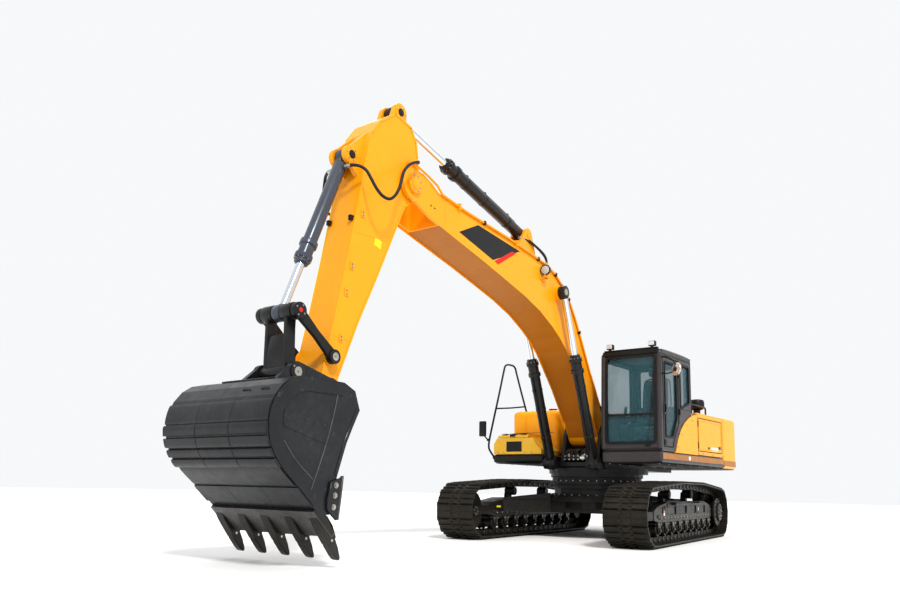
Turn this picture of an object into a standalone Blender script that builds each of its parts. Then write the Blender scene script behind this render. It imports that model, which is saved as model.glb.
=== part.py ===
"""Crawler excavator, 30 t class, as separate sub-parts.

Metres, +Z up, +X forward along the boom, +Y to the left (cab side).  Every
outline below is written in machine coordinates: X and Y from the slewing
axis, Z from the ground.  Two empties carry the machine: one turned for the
undercarriage, one for the upper structure.
"""
import bpy
import bmesh
import math
from mathutils import Vector, Matrix

# ------------------------------------------------------------ dimensions
SHIFT_X, SHIFT_Y = -2.3950, -0.0058      # slewing axis to the middle of the box
YAW = 0.1132                            # undercarriage turned under the house

GAUGE = 2.602                           # track centre to track centre
SHOE_W = 0.612                          # shoe width
IDLER_X, SPROCKET_X = 2.147, -2.039     # tumbler centres
TRACK_R = 0.430                         # over the grousers on the tumblers
TRACK_TOP = 0.938                       # over the carrier rollers
CARRIER_X = (0.619, -0.712)
CARRIER_R = 0.070
BAND = 0.130                            # grouser tip to rail
SHOES = 51

FOOT = (0.30, 1.68)                     # boom foot pin (x, z)
CYL_FOOT = (0.86, 1.19)                 # boom cylinder base pin
CYL_HEAD = (1.82, 3.76)                 # boom cylinder rod pin
TIP = (5.33, 4.41)                      # boom tip pin
ARM_CYL_BASE = (2.42, 4.56)
ARM_CYL_ROD = (5.45, 5.32)
BKT_CYL_BASE = (6.28, 4.49)
KNUCKLE = (7.107, 2.515)
IDLER_PIN = (6.59, 2.11)
LINK_PIN = (7.10, 1.89)
BUCKET_PIN = (6.62, 1.75)

BOOM_W = 0.270                          # half widths
ARM_W = 0.207
CYL_Y = 0.385
BUCKET_W = 0.760

DECK_TOP = 1.374
DECK_BOTTOM = 1.202
SIDE_Y = 1.495
CAB_R, CAB_L = 0.500, 1.490
CAB_TOP = 2.955
HOUSE_TOP = 2.070
GAP = 0.0005

# ------------------------------------------------------------ clean start
for ob in list(bpy.data.objects):
    bpy.data.objects.remove(ob)
for col in list(bpy.data.collections):
    bpy.data.collections.remove(col)
for me in list(bpy.data.meshes):
    bpy.data.meshes.remove(me)

PARTS = bpy.data.collections.new("crawler_excavator")
CUTS = bpy.data.collections.new("cutters")
for col in (PARTS, CUTS):
    bpy.context.scene.collection.children.link(col)


def material(name, colour, rough, metal=0.0, alpha=1.0):
    m = bpy.data.materials.new(name)
    m.use_nodes = True
    p = m.node_tree.nodes["Principled BSDF"]
    p.inputs["Base Color"].default_value = (*colour, 1.0)
    p.inputs["Roughness"].default_value = rough
    p.inputs["Metallic"].default_value = metal
    p.inputs["Alpha"].default_value = alpha
    return m


YELLOW = ("yellow_paint", (0.93, 0.50, 0.03), 0.38, 0.0)
BRIGHT = ("bright_yellow_paint", (0.95, 0.60, 0.02), 0.36, 0.0)
BLACK = ("black_paint", (0.028, 0.028, 0.031), 0.45, 0.0)
CABGREY = ("cab_grey_paint", (0.045, 0.042, 0.045), 0.42, 0.0)
CYLGREY = ("cylinder_blue_grey", (0.075, 0.085, 0.11), 0.40, 0.1)
STEEL = ("track_steel", (0.045, 0.042, 0.035), 0.62, 0.6)
CHROME = ("chrome_rod", (0.60, 0.62, 0.64), 0.15, 1.0)
GLASS = ("cab_glass", (0.45, 0.62, 0.66), 0.05, 0.0)
TRIM = ("interior_plastic", (0.10, 0.10, 0.11), 0.60, 0.0)
FABRIC = ("seat_fabric", (0.05, 0.05, 0.055), 0.90, 0.0)
RUBBER = ("hose_rubber", (0.02, 0.02, 0.022), 0.60, 0.0)


def axis_empty(name, x, y, z, yaw=0.0):
    e = bpy.data.objects.new(name, None)
    e.empty_display_size = 0.4
    e.location = (x, y, z)
    e.rotation_euler = (0.0, 0.0, yaw)
    PARTS.objects.link(e)
    return e


LOWER = axis_empty("undercarriage_axis", SHIFT_X, SHIFT_Y, 0.0, YAW)
UPPER = axis_empty("slewing_axis", SHIFT_X, SHIFT_Y, 0.0, 0.0)


# ------------------------------------------------------------ shape tools
def new_object(name, mesh, cutter=False):
    ob = bpy.data.objects.new(name, mesh)
    (CUTS if cutter else PARTS).objects.link(ob)
    return ob


def from_bmesh(name, bm):
    me = bpy.data.meshes.new(name)
    bm.to_mesh(me)
    bm.free()
    return new_object(name, me)


def box(name, lo, hi, bevel=0.0, seg=1, edges=None):
    """A block between two corners, its edges rounded in place.
    edges picks which edges are rounded: 'x', 'y' or 'z' for those along
    one axis, or None for all."""
    bm = bmesh.new()
    bmesh.ops.create_cube(bm, size=1.0)
    lo, hi = Vector(lo), Vector(hi)
    for v in bm.verts:
        v.co = Vector(((lo[i] + hi[i]) / 2 + v.co[i] * (hi[i] - lo[i]))
                      for i in range(3))
    if bevel:
        pick = bm.edges[:]
        if edges:
            k = "xyz".index(edges)
            pick = [e for e in bm.edges
                    if abs((e.verts[0].co - e.verts[1].co).normalized()[k]) > 0.9]
        bmesh.ops.bevel(bm, geom=pick, offset=bevel, segments=seg,
                        affect='EDGES', profile=0.5)
    return from_bmesh(name, bm)


def rod(name, a, b, r, seg=16, r2=None):
    """A cylinder or a cone from point a to point b."""
    a, b = Vector(a), Vector(b)
    bm = bmesh.new()
    bmesh.ops.create_cone(bm, cap_ends=True, segments=seg, radius1=r,
                          radius2=r if r2 is None else r2, depth=(b - a).length)
    turn = (b - a).to_track_quat('Z', 'Y').to_matrix().to_4x4()
    bmesh.ops.transform(bm, matrix=Matrix.Translation((a + b) / 2) @ turn,
                        verts=bm.verts)
    return from_bmesh(name, bm)


def across(name, pin, r, y0, y1, seg=16):
    """A cylinder about a pin axis that runs left to right."""
    return rod(name, (pin[0], y0, pin[1]), (pin[0], y1, pin[1]), r, seg)


def to_mesh(ob, flat=False):
    """The evaluated object as a plain, welded mesh object; flat faces that
    were cut into triangles become whole again where flat is set."""
    bpy.context.view_layer.update()
    dg = bpy.context.evaluated_depsgraph_get()
    me = bpy.data.meshes.new_from_object(ob.evaluated_get(dg))
    bm = bmesh.new()
    bm.from_mesh(me)
    bmesh.ops.remove_doubles(bm, verts=bm.verts, dist=1e-5)
    bmesh.ops.transform(bm, matrix=ob.matrix_world, verts=bm.verts)
    if flat:
        bmesh.ops.dissolve_limit(bm, angle_limit=math.radians(0.2), verts=bm.verts, edges=bm.edges)
    bmesh.ops.recalc_face_normals(bm, faces=bm.faces)
    name = ob.name
    bpy.data.objects.remove(ob)
    return from_bmesh(name, bm)


def prism(name, outline, lo, hi, axis='y', flat=False, hole=None):
    """A flat outline pulled along an axis.  For 'y' the outline is (x, z),
    for 'z' it is (x, y), for 'x' it is (y, z)."""
    cu = bpy.data.curves.new(name, 'CURVE')
    cu.dimensions = '2D'
    cu.fill_mode = 'BOTH'
    cu.extrude = (hi - lo) / 2
    for loop in (outline, hole) if hole else (outline,):
        sp = cu.splines.new('POLY')
        sp.points.add(len(loop) - 1)
        for p, (u, v) in zip(sp.points, loop):
            p.co = (u, v, 0.0, 1.0)
        sp.use_cyclic_u = True
    ob = new_object(name, cu)
    mid = (lo + hi) / 2
    if axis == 'y':
        ob.matrix_world = Matrix.Translation((0, mid, 0)) @ Matrix.Rotation(math.pi / 2, 4, 'X')
    elif axis == 'z':
        ob.matrix_world = Matrix.Translation((0, 0, mid))
    else:
        ob.matrix_world = (Matrix.Translation((mid, 0, 0))
                           @ Matrix(((0, 0, 1, 0), (1, 0, 0, 0), (0, 1, 0, 0), (0, 0, 0, 1))))
    return to_mesh(ob, flat)


def tube(name, points, r, res=2, mesh=True):
    cu = bpy.data.curves.new(name, 'CURVE')
    cu.dimensions = '3D'
    cu.bevel_depth = r
    cu.bevel_resolution = res
    cu.use_fill_caps = True
    sp = cu.splines.new('POLY')
    sp.points.add(len(points) - 1)
    for p, q in zip(sp.points, points):
        p.co = (*q, 1.0)
    ob = new_object(name, cu)
    return to_mesh(ob) if mesh else ob


def combine(base, others, how='UNION'):
    """Joins or cuts the base with each of the others, which are used up."""
    for other in others:
        m = base.modifiers.new("join", 'BOOLEAN')
        m.operation = how
        m.solver = 'EXACT'
        m.object = other
        bpy.context.view_layer.update()
        dg = bpy.context.evaluated_depsgraph_get()
        me = bpy.data.meshes.new_from_object(base.evaluated_get(dg))
        base.modifiers.clear()
        base.data = me
        bpy.data.objects.remove(other)
    return base


def cut(base, others):
    return combine(base, others, 'DIFFERENCE')


def open_cut(base, cutter):
    """A cut that stays on the piece as a modifier, its cutter kept as a guide."""
    for c in list(cutter.users_collection):
        c.objects.unlink(cutter)
    CUTS.objects.link(cutter)
    cutter.hide_render = True
    cutter.display_type = 'WIRE'
    cutter.parent = UPPER
    m = base.modifiers.new("opening", 'BOOLEAN')
    m.operation = 'DIFFERENCE'
    m.solver = 'EXACT'
    m.object = cutter


def done(ob, name, look, parent=UPPER, pivot=(0, 0, 0), smooth=30):
    """Names the piece, gives it its own material, and puts its origin on
    its pivot under the empty that carries it."""
    ob.name = name
    ob.data.name = name
    m = material(name + "_" + look[0], look[1], look[2], look[3])
    ob.data.materials.clear()
    ob.data.materials.append(m)
    p = Vector(pivot)
    ob.data.transform(Matrix.Translation(-p))
    if isinstance(ob.data, bpy.types.Mesh):
        ob.data.shade_smooth()
        ob.data.set_sharp_from_angle(angle=math.radians(smooth))
    ob.parent = parent
    ob.location = p
    return ob


def arc(c, r, a0, a1, n):
    """Points about c from angle a0 to a1 in degrees, both ends included."""
    return [(c[0] + r * math.cos(math.radians(a0 + (a1 - a0) * i / n)),
             c[1] + r * math.sin(math.radians(a0 + (a1 - a0) * i / n)))
            for i in range(n + 1)]


def polar(c, r, a):
    return (c[0] + r * math.cos(math.radians(a)), c[1] + r * math.sin(math.radians(a)))


def mixed(a, b, t):
    return (a[0] + (b[0] - a[0]) * t, a[1] + (b[1] - a[1]) * t)


def angle(a, b):
    return math.degrees(math.atan2(b[1] - a[1], b[0] - a[0]))


def pin3(p, y):
    return (p[0], y, p[1])


# ------------------------------------------------------------ tracks
def belt(offset):
    """The closed loop around the two tumblers and the two carrier rollers,
    at a distance inside the grouser tips: a list of (length, kind, data)."""
    rt, rc = TRACK_R - offset, CARRIER_R + BAND - offset
    zc = TRACK_TOP - (CARRIER_R + BAND)
    ring = [((SPROCKET_X, TRACK_R), rt), ((IDLER_X, TRACK_R), rt),
            ((CARRIER_X[0], zc), rc), ((CARRIER_X[1], zc), rc)]
    normals = []
    for i in range(4):
        (c1, r1), (c2, r2) = ring[i], ring[(i + 1) % 4]
        d = math.dist(c1, c2)
        normals.append(math.atan2(c2[1] - c1[1], c2[0] - c1[0]) - math.acos((r1 - r2) / d))
    parts = []
    for i in range(4):
        (c1, r1), (c2, r2) = ring[i], ring[(i + 1) % 4]
        n = normals[i]
        a = (c1[0] + r1 * math.cos(n), c1[1] + r1 * math.sin(n))
        b = (c2[0] + r2 * math.cos(n), c2[1] + r2 * math.sin(n))
        parts.append((math.dist(a, b), 'line', (a, b, n)))
        m = normals[(i + 1) % 4]
        while m < n:
            m += 2 * math.pi
        parts.append(((m - n) * r2, 'arc', (c2, r2, n, m)))
    return parts


def on_belt(parts, s):
    """The point and the outward direction at length s along the loop."""
    total = sum(p[0] for p in parts)
    s %= total
    for length, kind, data in parts:
        if s <= length or (length, kind, data) == parts[-1]:
            t = min(s / length, 1.0) if length > 1e-9 else 0.0
            if kind == 'line':
                a, b, n = data
                return (a[0] + (b[0] - a[0]) * t, a[1] + (b[1] - a[1]) * t), n
            c, r, n, m = data
            q = n + (m - n) * t
            return (c[0] + r * math.cos(q), c[1] + r * math.sin(q)), q
        s -= length


def track(name, side):
    root = belt(0.030)
    total = sum(p[0] for p in root)
    pitch = total / SHOES
    outer = []
    for i in range(SHOES):
        for f, h in ((0.03, 0.0), (0.10, 0.030), (0.86, 0.030), (0.93, 0.0)):
            (x, z), n = on_belt(root, (i + f) * pitch)
            outer.append((x + h * math.cos(n), z + h * math.sin(n)))
    floor = min(z for x, z in outer)
    outer = [(x, z - floor) for x, z in outer]
    inner_loop = belt(BAND)
    inner_total = sum(p[0] for p in inner_loop)
    inner = [on_belt(inner_loop, inner_total * i / 60)[0] for i in range(60)]
    y = side * GAUGE / 2
    band = prism(name, outer, y - SHOE_W / 2, y + SHOE_W / 2, hole=inner)
    return done(band, name, STEEL, LOWER, smooth=20)


def undercarriage(side, tag):
    y = side * GAUGE / 2
    inner = side * (GAUGE / 2 - 0.150)          # frame box sides
    outer = side * (GAUGE / 2 + 0.165)
    y0, y1 = min(inner, outer), max(inner, outer)
    track("track_" + tag, side)

    frame = prism("f", [(-1.62, 0.335), (1.50, 0.335), (1.72, 0.36), (1.76, 0.40),
                        (1.76, 0.50), (1.55, 0.56), (1.00, 0.625), (-1.20, 0.625),
                        (-1.60, 0.56), (-1.70, 0.50), (-1.70, 0.38)], y0, y1)
    bits = []
    for cx in CARRIER_X:
        cz = TRACK_TOP - BAND - CARRIER_R - 0.004
        bits.append(box("post", (cx - 0.05, y - 0.055, 0.60), (cx + 0.05, y - 0.005, cz + 0.03)))
        bits.append(rod("carrier", (cx, y - 0.06, cz), (cx, y + 0.085, cz), CARRIER_R - 0.002, 16))
    step = (y1 - 0.01, y1 + 0.075) if side > 0 else (y0 - 0.075, y0 + 0.01)
    bits.append(box("step", (-0.95, step[0], 0.575), (0.85, step[1], 0.600)))
    combine(frame, bits)
    done(frame, "track_frame_" + tag, BLACK, LOWER)

    bar = box("bar", (-1.66, y - 0.155, 0.262), (1.62, y + 0.155, 0.3345 - 0.0005))
    rollers = []
    for i in range(9):
        x = -1.50 + i * 3.0 / 8
        rollers.append(rod("r", (x, y - 0.145, 0.222), (x, y + 0.145, 0.222), 0.0880, 10))
    combine(bar, rollers)
    done(bar, "lower_rollers_" + tag, BLACK, LOWER)

    idler = rod("i", (IDLER_X, y - 0.11, TRACK_R), (IDLER_X, y + 0.11, TRACK_R), 0.288, 20)
    fork_y = 0.152
    arms = [rod("hub", (IDLER_X, y - 0.155, TRACK_R), (IDLER_X, y + 0.155, TRACK_R), 0.085, 16)]
    for s in (-1, 1):
        arms.append(box("arm", (1.7605, y + s * 0.14 - 0.018, 0.37),
                        (IDLER_X + 0.06, y + s * 0.14 + 0.018, 0.49)))
    combine(idler, arms)
    done(idler, "idler_" + tag, STEEL, LOWER, pivot=(IDLER_X, y, TRACK_R))

    sprocket = rod("s", (SPROCKET_X, y - 0.045, TRACK_R), (SPROCKET_X, y + 0.045, TRACK_R), 0.285, 22)
    s = side
    drum = [rod("drum", (SPROCKET_X, y - s * 0.16, TRACK_R), (SPROCKET_X, y + s * 0.215, TRACK_R), 0.205, 16),
            rod("cover", (SPROCKET_X, y + s * 0.205, TRACK_R), (SPROCKET_X, y + s * 0.250, TRACK_R), 0.150, 16)]
    combine(sprocket, drum)
    hub = box("mount", (-1.93, y - 0.15, 0.36), (-1.7005, y + 0.15, 0.50))
    combine(sprocket, [hub])
    done(sprocket, "sprocket_" + tag, BLACK, LOWER, pivot=(SPROCKET_X, y, TRACK_R))


for side, tag in ((1, "left"), (-1, "right")):
    undercarriage(side, tag)

# car body: a centre drum on four splayed legs that meet the track frames
leg = GAUGE / 2 - 0.150 - GAP
body = prism("carbody", [(0.62, 0.55), (1.22, leg), (0.62, leg), (0.30, 0.82), (-0.30, 0.82),
                         (-0.62, leg), (-1.22, leg), (-0.62, 0.55), (-0.62, -0.55), (-1.22, -leg),
                         (-0.62, -leg), (-0.30, -0.82), (0.30, -0.82), (0.62, -leg), (1.22, -leg),
                         (0.62, -0.55)], 0.40, 0.60, 'z')
combine(body, [rod("drum", (0, 0, 0.47), (0, 0, 0.795), 0.70, 20),
               rod("neck", (0, 0, 0.58), (0, 0, 0.70), 0.86, 20, 0.70)])
done(body, "carbody", BLACK, LOWER)
ring = rod("ring", (0, 0, 0.7955), (0, 0, 0.975), 0.735, 28)
combine(ring, [rod("flange", (0, 0, 0.86), (0, 0, 0.915), 0.765, 28)])
done(ring, "slew_ring", BLACK, LOWER)

# ------------------------------------------------------------ house frame
frame = prism("main_frame", [(-2.02, 1.115), (0.66, 1.115), (0.735, 1.15), (0.735, 1.215),
                             (0.55, 1.25), (-2.02, 1.30)], -0.505, 0.505)
bits = [rod("table", (0, 0, 0.985), (0, 0, 1.13), 0.76, 28),
        rod("step", (-0.06, 0, 1.04), (-0.06, 0, 1.13), 0.82, 28)]
for s in (-1, 1):
    a, b = sorted((s * 0.287, s * 0.345))
    bits.append(prism("cheek", [(-0.61, 1.20), (0.60, 1.20), (0.56, 1.45), (0.50, 1.70)]
                      + arc(FOOT, 0.185, 10, 150, 7) + [(-0.30, 1.60), (-0.61, 1.40)], a, b))
    for u, v in ((0.285, 0.333), (0.437, 0.485)):
        a, b = sorted((s * u, s * v))
        bits.append(prism("lug", [(0.70, 1.13)] + arc(CYL_FOOT, 0.095, -70, 80, 6) + [(0.70, 1.235)], a, b))
    a, b = sorted((s * 0.30, s * 0.480))
    bits.append(across("cyl_pin", CYL_FOOT, 0.042, a, b, 12))
bits.append(across("foot_pin", FOOT, 0.055, -0.355, 0.355, 16))
combine(frame, bits)
done(frame, "main_frame", BLACK, UPPER)

deck = box("d", (-1.93, 0.510, DECK_BOTTOM), (0.845, SIDE_Y, DECK_TOP), 0.03, 2)
done(deck, "left_deck", CABGREY, UPPER)
deck = box("d", (-1.93, -SIDE_Y, DECK_BOTTOM), (0.905, -0.510, 1.345), 0.045, 3)
done(deck, "right_deck", BLACK, UPPER)

# counterweight: rounded at the back, a shallow step along its top
cw_out = ([(-1.9505, -SIDE_Y), (-2.35, -SIDE_Y)]
          + arc((-2.52, -1.06), 0.435, -90, -175, 7)
          + [(-3.04, -0.55), (-3.075, 0.0), (-3.04, 0.55)]
          + arc((-2.52, 1.06), 0.435, 175, 90, 7)
          + [(-2.35, SIDE_Y), (-1.9505, SIDE_Y)])
cw = prism("cw", cw_out, 1.19, 2.09, 'z', True)
bmod = cw.modifiers.new("edge", 'BEVEL')
bmod.width = 0.05
bmod.segments = 2
bmod.limit_method = 'ANGLE'
bmod.angle_limit = math.radians(60)
cw = to_mesh(cw)
cut(cw, [box("rear", (-2.10, -0.506, 1.0), (-1.90, 0.506, 1.306))])
done(cw, "counterweight", YELLOW, UPPER)

# engine compartment: four walls and a roof frame, open under the hood and
# behind the side doors, with the cowl that sweeps forward under the cab door
X0, X1 = -1.9500, -0.620
house = box("house", (X0, -SIDE_Y, DECK_TOP + GAP), (X1, SIDE_Y, HOUSE_TOP), 0.035, 2, 'x')
COWL = [(-0.66, DECK_TOP + GAP), (0.31, DECK_TOP + GAP), (0.265, 1.47), (0.19, 1.60), (0.06, 1.75),
        (-0.10, 1.87), (-0.30, 1.97), (-0.50, 2.03), (-0.66, HOUSE_TOP - 0.02)]
combine(house, [prism("cowl", COWL, SIDE_Y - 0.030, SIDE_Y)])
cut(house, [box("room", (X0 + 0.05, -SIDE_Y + 0.045, 1.0), (X1 - 0.04, SIDE_Y - 0.045, HOUSE_TOP - 0.05)),
            box("hood", (X0 + 0.10, -0.95, 1.8), (X1 - 0.08, 0.95, 2.3)),
            box("door_l", (X0 + 0.08, 1.3, 1.44), (X1 - 0.08, 1.7, 2.00)),
            box("door_r", (X0 + 0.08, -1.7, 1.44), (X1 - 0.08, -1.3, 2.00))])
done(house, "engine_housing", YELLOW, UPPER)
HOOD_X = X1 - 0.080
hood = box("hood", (X0 + 0.107, -0.943, HOUSE_TOP - 0.045), (HOOD_X - 0.007, 0.943, HOUSE_TOP + 0.050), 0.035, 2, None)
done(hood, "engine_hood", YELLOW, UPPER, pivot=(HOOD_X - 0.002, 0, HOUSE_TOP + 0.012))
for s, tag in ((1, "left"), (-1, "right")):
    a, b = sorted((s * (SIDE_Y - 0.040), s * (SIDE_Y - 0.001)))
    door = box("door", (X0 + 0.087, a, 1.447), (X1 - 0.087, b, 1.993))
    done(door, tag + "_side_door", YELLOW, UPPER, pivot=(X1 - 0.083, s * (SIDE_Y + 0.006), 1.72))
engine = box("engine", (-1.80, -0.50, 1.3105), (-0.95, 0.50, 1.93), 0.03)
done(engine, "engine", STEEL, UPPER)

# ------------------------------------------------------------ cab
front = lambda z: 0.840 - 0.028 * (z - 1.43)
cab = prism("cab", [(-0.45, DECK_TOP + GAP), (0.80, DECK_TOP + GAP), (front(1.43), 1.43), (front(2.86), 2.86),
                    (0.765, 2.925), (0.70, CAB_TOP), (-0.33, CAB_TOP), (-0.42, 2.92), (-0.45, 2.84)],
            CAB_R, CAB_L, 'y', True)
bm_ = cab.modifiers.new("edge", 'BEVEL')
bm_.width = 0.028
bm_.segments = 2
bm_.limit_method = 'ANGLE'
bm_.angle_limit = math.radians(60)
cab = to_mesh(cab)
DOOR = [(0.745, 1.450), (0.745, 2.830), (0.120, 2.830), (0.120, 1.830), (0.375, 1.450)]
DOOR_GLASS = [(0.665, 1.600), (0.665, 2.765), (0.190, 2.765), (0.190, 1.900), (0.385, 1.600)]
QUARTER = [(0.035, 2.080), (0.035, 2.790), (-0.350, 2.790), (-0.350, 2.190)]


def grown(outline, d):
    """The outline moved outward by d, corners kept."""
    n = len(outline)
    area = sum(outline[i][0] * outline[(i + 1) % n][1] - outline[(i + 1) % n][0] * outline[i][1]
               for i in range(n))
    sgn = 1 if area > 0 else -1
    out = []
    for i in range(n):
        p, q, r = Vector(outline[i - 1]), Vector(outline[i]), Vector(outline[(i + 1) % n])
        e1, e2 = (q - p).normalized(), (r - q).normalized()
        n1, n2 = Vector((e1.y, -e1.x)) * sgn, Vector((e2.y, -e2.x)) * sgn
        k = n1 + n2
        k *= 2 * d / k.length_squared
        out.append((q.x + k.x, q.y + k.y))
    return out


cut(cab, [prism("room", [(-0.40, 1.425), (0.775, 1.425), (front(2.80) - 0.05, 2.86), (0.68, 2.905),
                         (-0.32, 2.905), (-0.40, 2.83)], CAB_R + 0.045, CAB_L - 0.050),
          prism("cowl_seat", grown(COWL, 0.005), SIDE_Y - 0.034, SIDE_Y + 0.1)])
WS = (0.590, 1.400, 1.500, 2.860)
open_cut(cab, box("front_opening", (0.70, WS[0], WS[2]), (0.95, WS[1], WS[3]), 0.05, 2, 'x'))
open_cut(cab, box("right_opening", (-0.30, 0.40, 1.98), (0.66, 0.60, 2.83), 0.04, 2, 'y'))
open_cut(cab, box("rear_opening", (-0.55, 0.60, 2.15), (-0.35, 1.38, 2.80), 0.04, 2, 'x'))
open_cut(cab, prism("door_opening", grown(DOOR, 0.006), 1.35, 1.60))
open_cut(cab, prism("quarter_opening", QUARTER, 1.35, 1.60))
open_cut(cab, box("roof_hatch_opening", (-0.10, 0.72, 2.80), (0.50, 1.27, 3.10), 0.03, 1, 'z'))
done(cab, "cab_shell", CABGREY, UPPER)

g = GAP
ws = prism("ws", [(front(WS[2]) - 0.030, WS[2] + g), (front(WS[2]) - 0.018, WS[2] + g),
                  (front(WS[3]) - 0.018, WS[3] - g), (front(WS[3]) - 0.030, WS[3] - g)], WS[0] + g, WS[1] - g)
# its corners follow the rounded opening
keep = box("keep", (0.6, WS[0] + g, WS[2] + g), (0.95, WS[1] - g, WS[3] - g), 0.0505, 2, 'x')
combine(ws, [keep], 'INTERSECT')
done(ws, "windscreen", GLASS, UPPER)
rg = box("rg", (-0.30 + g, CAB_R + 0.014, 1.98 + g), (0.66 - g, CAB_R + 0.022, 2.83 - g), 0.0405, 2, 'y')
done(rg, "right_cab_glass", GLASS, UPPER)
rg = box("rg", (-0.436, 0.60 + g, 2.15 + g), (-0.428, 1.38 - g, 2.80 - g), 0.0405, 2, 'x')
done(rg, "rear_cab_glass", GLASS, UPPER)
qg = prism("qg", grown(QUARTER, -g), CAB_L - 0.022, CAB_L - 0.014)
done(qg, "quarter_glass", GLASS, UPPER)
hatch = box("hatch", (-0.093, 0.727, 2.915), (0.493, 1.263, CAB_TOP + 0.014), 0.025, 1, 'z')
done(hatch, "roof_hatch", CABGREY, UPPER, pivot=(-0.094, 0.995, CAB_TOP + 0.016))

HINGE = (0.112, CAB_L + 0.010)
door = prism("door", DOOR, CAB_L - 0.044, CAB_L - 0.002)
cut(door, [prism("pane", DOOR_GLASS, 1.3, 1.6)])
done(door, "cab_door", CABGREY, UPPER, pivot=(HINGE[0], HINGE[1], 2.14))
dg_ = prism("dg", grown(DOOR_GLASS, -g), CAB_L - 0.024, CAB_L - 0.016)
done(dg_, "door_glass", GLASS, UPPER, pivot=(HINGE[0], HINGE[1], 2.14))

# operator's place
ped = box("ped", (-0.20, 0.78, 1.4255), (0.22, 1.20, 1.66), 0.02)
bits = []
for s in (-1, 1):
    yc = 0.99 + s * 0.34
    bits.append(box("console", (-0.20, yc - 0.075, 1.4255), (0.34, yc + 0.075, 1.90), 0.02))
    bits.append(rod("lever", (0.26, yc, 1.88), (0.31, yc, 2.08), 0.018, 8))
    bits.append(rod("grip", (0.305, yc, 2.05), (0.325, yc, 2.14), 0.028, 8))
bits.append(box("tie", (-0.16, 0.62, 1.45), (0.10, 1.36, 1.52)))
bits.append(box("pedals", (0.10, 0.90, 1.4255), (0.66, 1.08, 1.455)))
bits.append(box("stand", (0.60, 0.62, 1.4255), (0.72, 0.80, 1.72), 0.02))
bits.append(box("foot", (0.05, 0.64, 1.4255), (0.68, 0.74, 1.45)))
combine(ped, bits)
done(ped, "operator_station", TRIM, UPPER)
cush = box("cush", (-0.22, 0.755, 1.665), (0.26, 1.225, 1.80), 0.04, 2)
done(cush, "seat_cushion", FABRIC, UPPER)
back = prism("back", [(-0.215, 1.805), (-0.10, 1.805), (-0.16, 2.36), (-0.185, 2.62), (-0.265, 2.62), (-0.28, 2.36)],
             0.765, 1.215, 'y', True)
bk = back.modifiers.new("edge", 'BEVEL')
bk.width = 0.03
bk.segments = 1
done(back, "seat_back", FABRIC, UPPER)

# cab front roof visor with its two lamps
vis = box("vis", (0.742, 0.56, CAB_TOP + 0.001), (0.800, 1.44, CAB_TOP + 0.022))
bits = []
for yc in (0.64, 1.34):
    bits.append(box("stem", (0.758, yc - 0.02, CAB_TOP + 0.015), (0.783, yc + 0.02, CAB_TOP + 0.055)))
    bits.append(box("lamp", (0.715, yc - 0.055, CAB_TOP + 0.045), (0.805, yc + 0.055, CAB_TOP + 0.125), 0.012))
combine(vis, bits)
done(vis, "roof_lamps", BLACK, UPPER)

# round mirror on a stalk at the cab's left front pillar
mir = rod("m", (0.860, 1.738, 2.597), (0.828, 1.756, 2.592), 0.097, 20)
combine(mir, [tube("arm", [(0.772, CAB_L + 0.0006, 2.82), (0.772, CAB_L + 0.03, 2.82), (0.792, 1.60, 2.80), (0.828, 1.705, 2.72), (0.844, 1.747, 2.62)], 0.011),
              tube("arm2", [(0.772, CAB_L + 0.0006, 2.56), (0.772, CAB_L + 0.03, 2.56), (0.792, 1.60, 2.55), (0.828, 1.705, 2.57), (0.844, 1.747, 2.59)], 0.011)])
done(mir, "left_mirror", BLACK, UPPER)

# ------------------------------------------------------------ right side
tank = box("tank", (-0.6195, -1.475, 1.3455), (0.300, -0.560, 2.130), 0.07, 3, None)
combine(tank, [rod("filler", (-0.05, -0.85, 2.10), (-0.05, -0.85, 2.185), 0.07, 16)])
done(tank, "fuel_tank", YELLOW, UPPER)
tb = prism("tb", [(0.3006, 1.3456), (0.900, 1.3456), (0.905, 1.52), (0.80, 1.628), (0.3006, 1.640)], -1.475, -0.545)
cut(tb, [box("well", (0.36, -1.42, 1.40), (0.74, -0.92, 1.9))])
cut(tb, [prism("slope", [(-0.40, 1.30), (-0.40, 1.8), (-0.95, 1.8), (-0.545, 1.42), (-0.5, 1.30)], 0.2, 1.1, 'x')])
done(tb, "toolbox", BRIGHT, UPPER)
lid = prism("lid", [(0.309, 1.6455), (0.795, 1.6335), (0.770, 1.672), (0.72, 1.690), (0.309, 1.700)], -1.470, -0.868)
done(lid, "toolbox_lid", BRIGHT, UPPER, pivot=(0.311, -1.17, 1.703))
vb = box("vb", (0.545, -0.25, 1.2515), (0.73, 0.25, 1.325), 0.01)
combine(vb, [box("p%d" % i, (0.58, y - 0.025, 1.31), (0.66, y + 0.025, 1.36)) for i, y in enumerate((-0.18, -0.06, 0.06, 0.18))])
done(vb, "valve_block", STEEL, UPPER)

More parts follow.
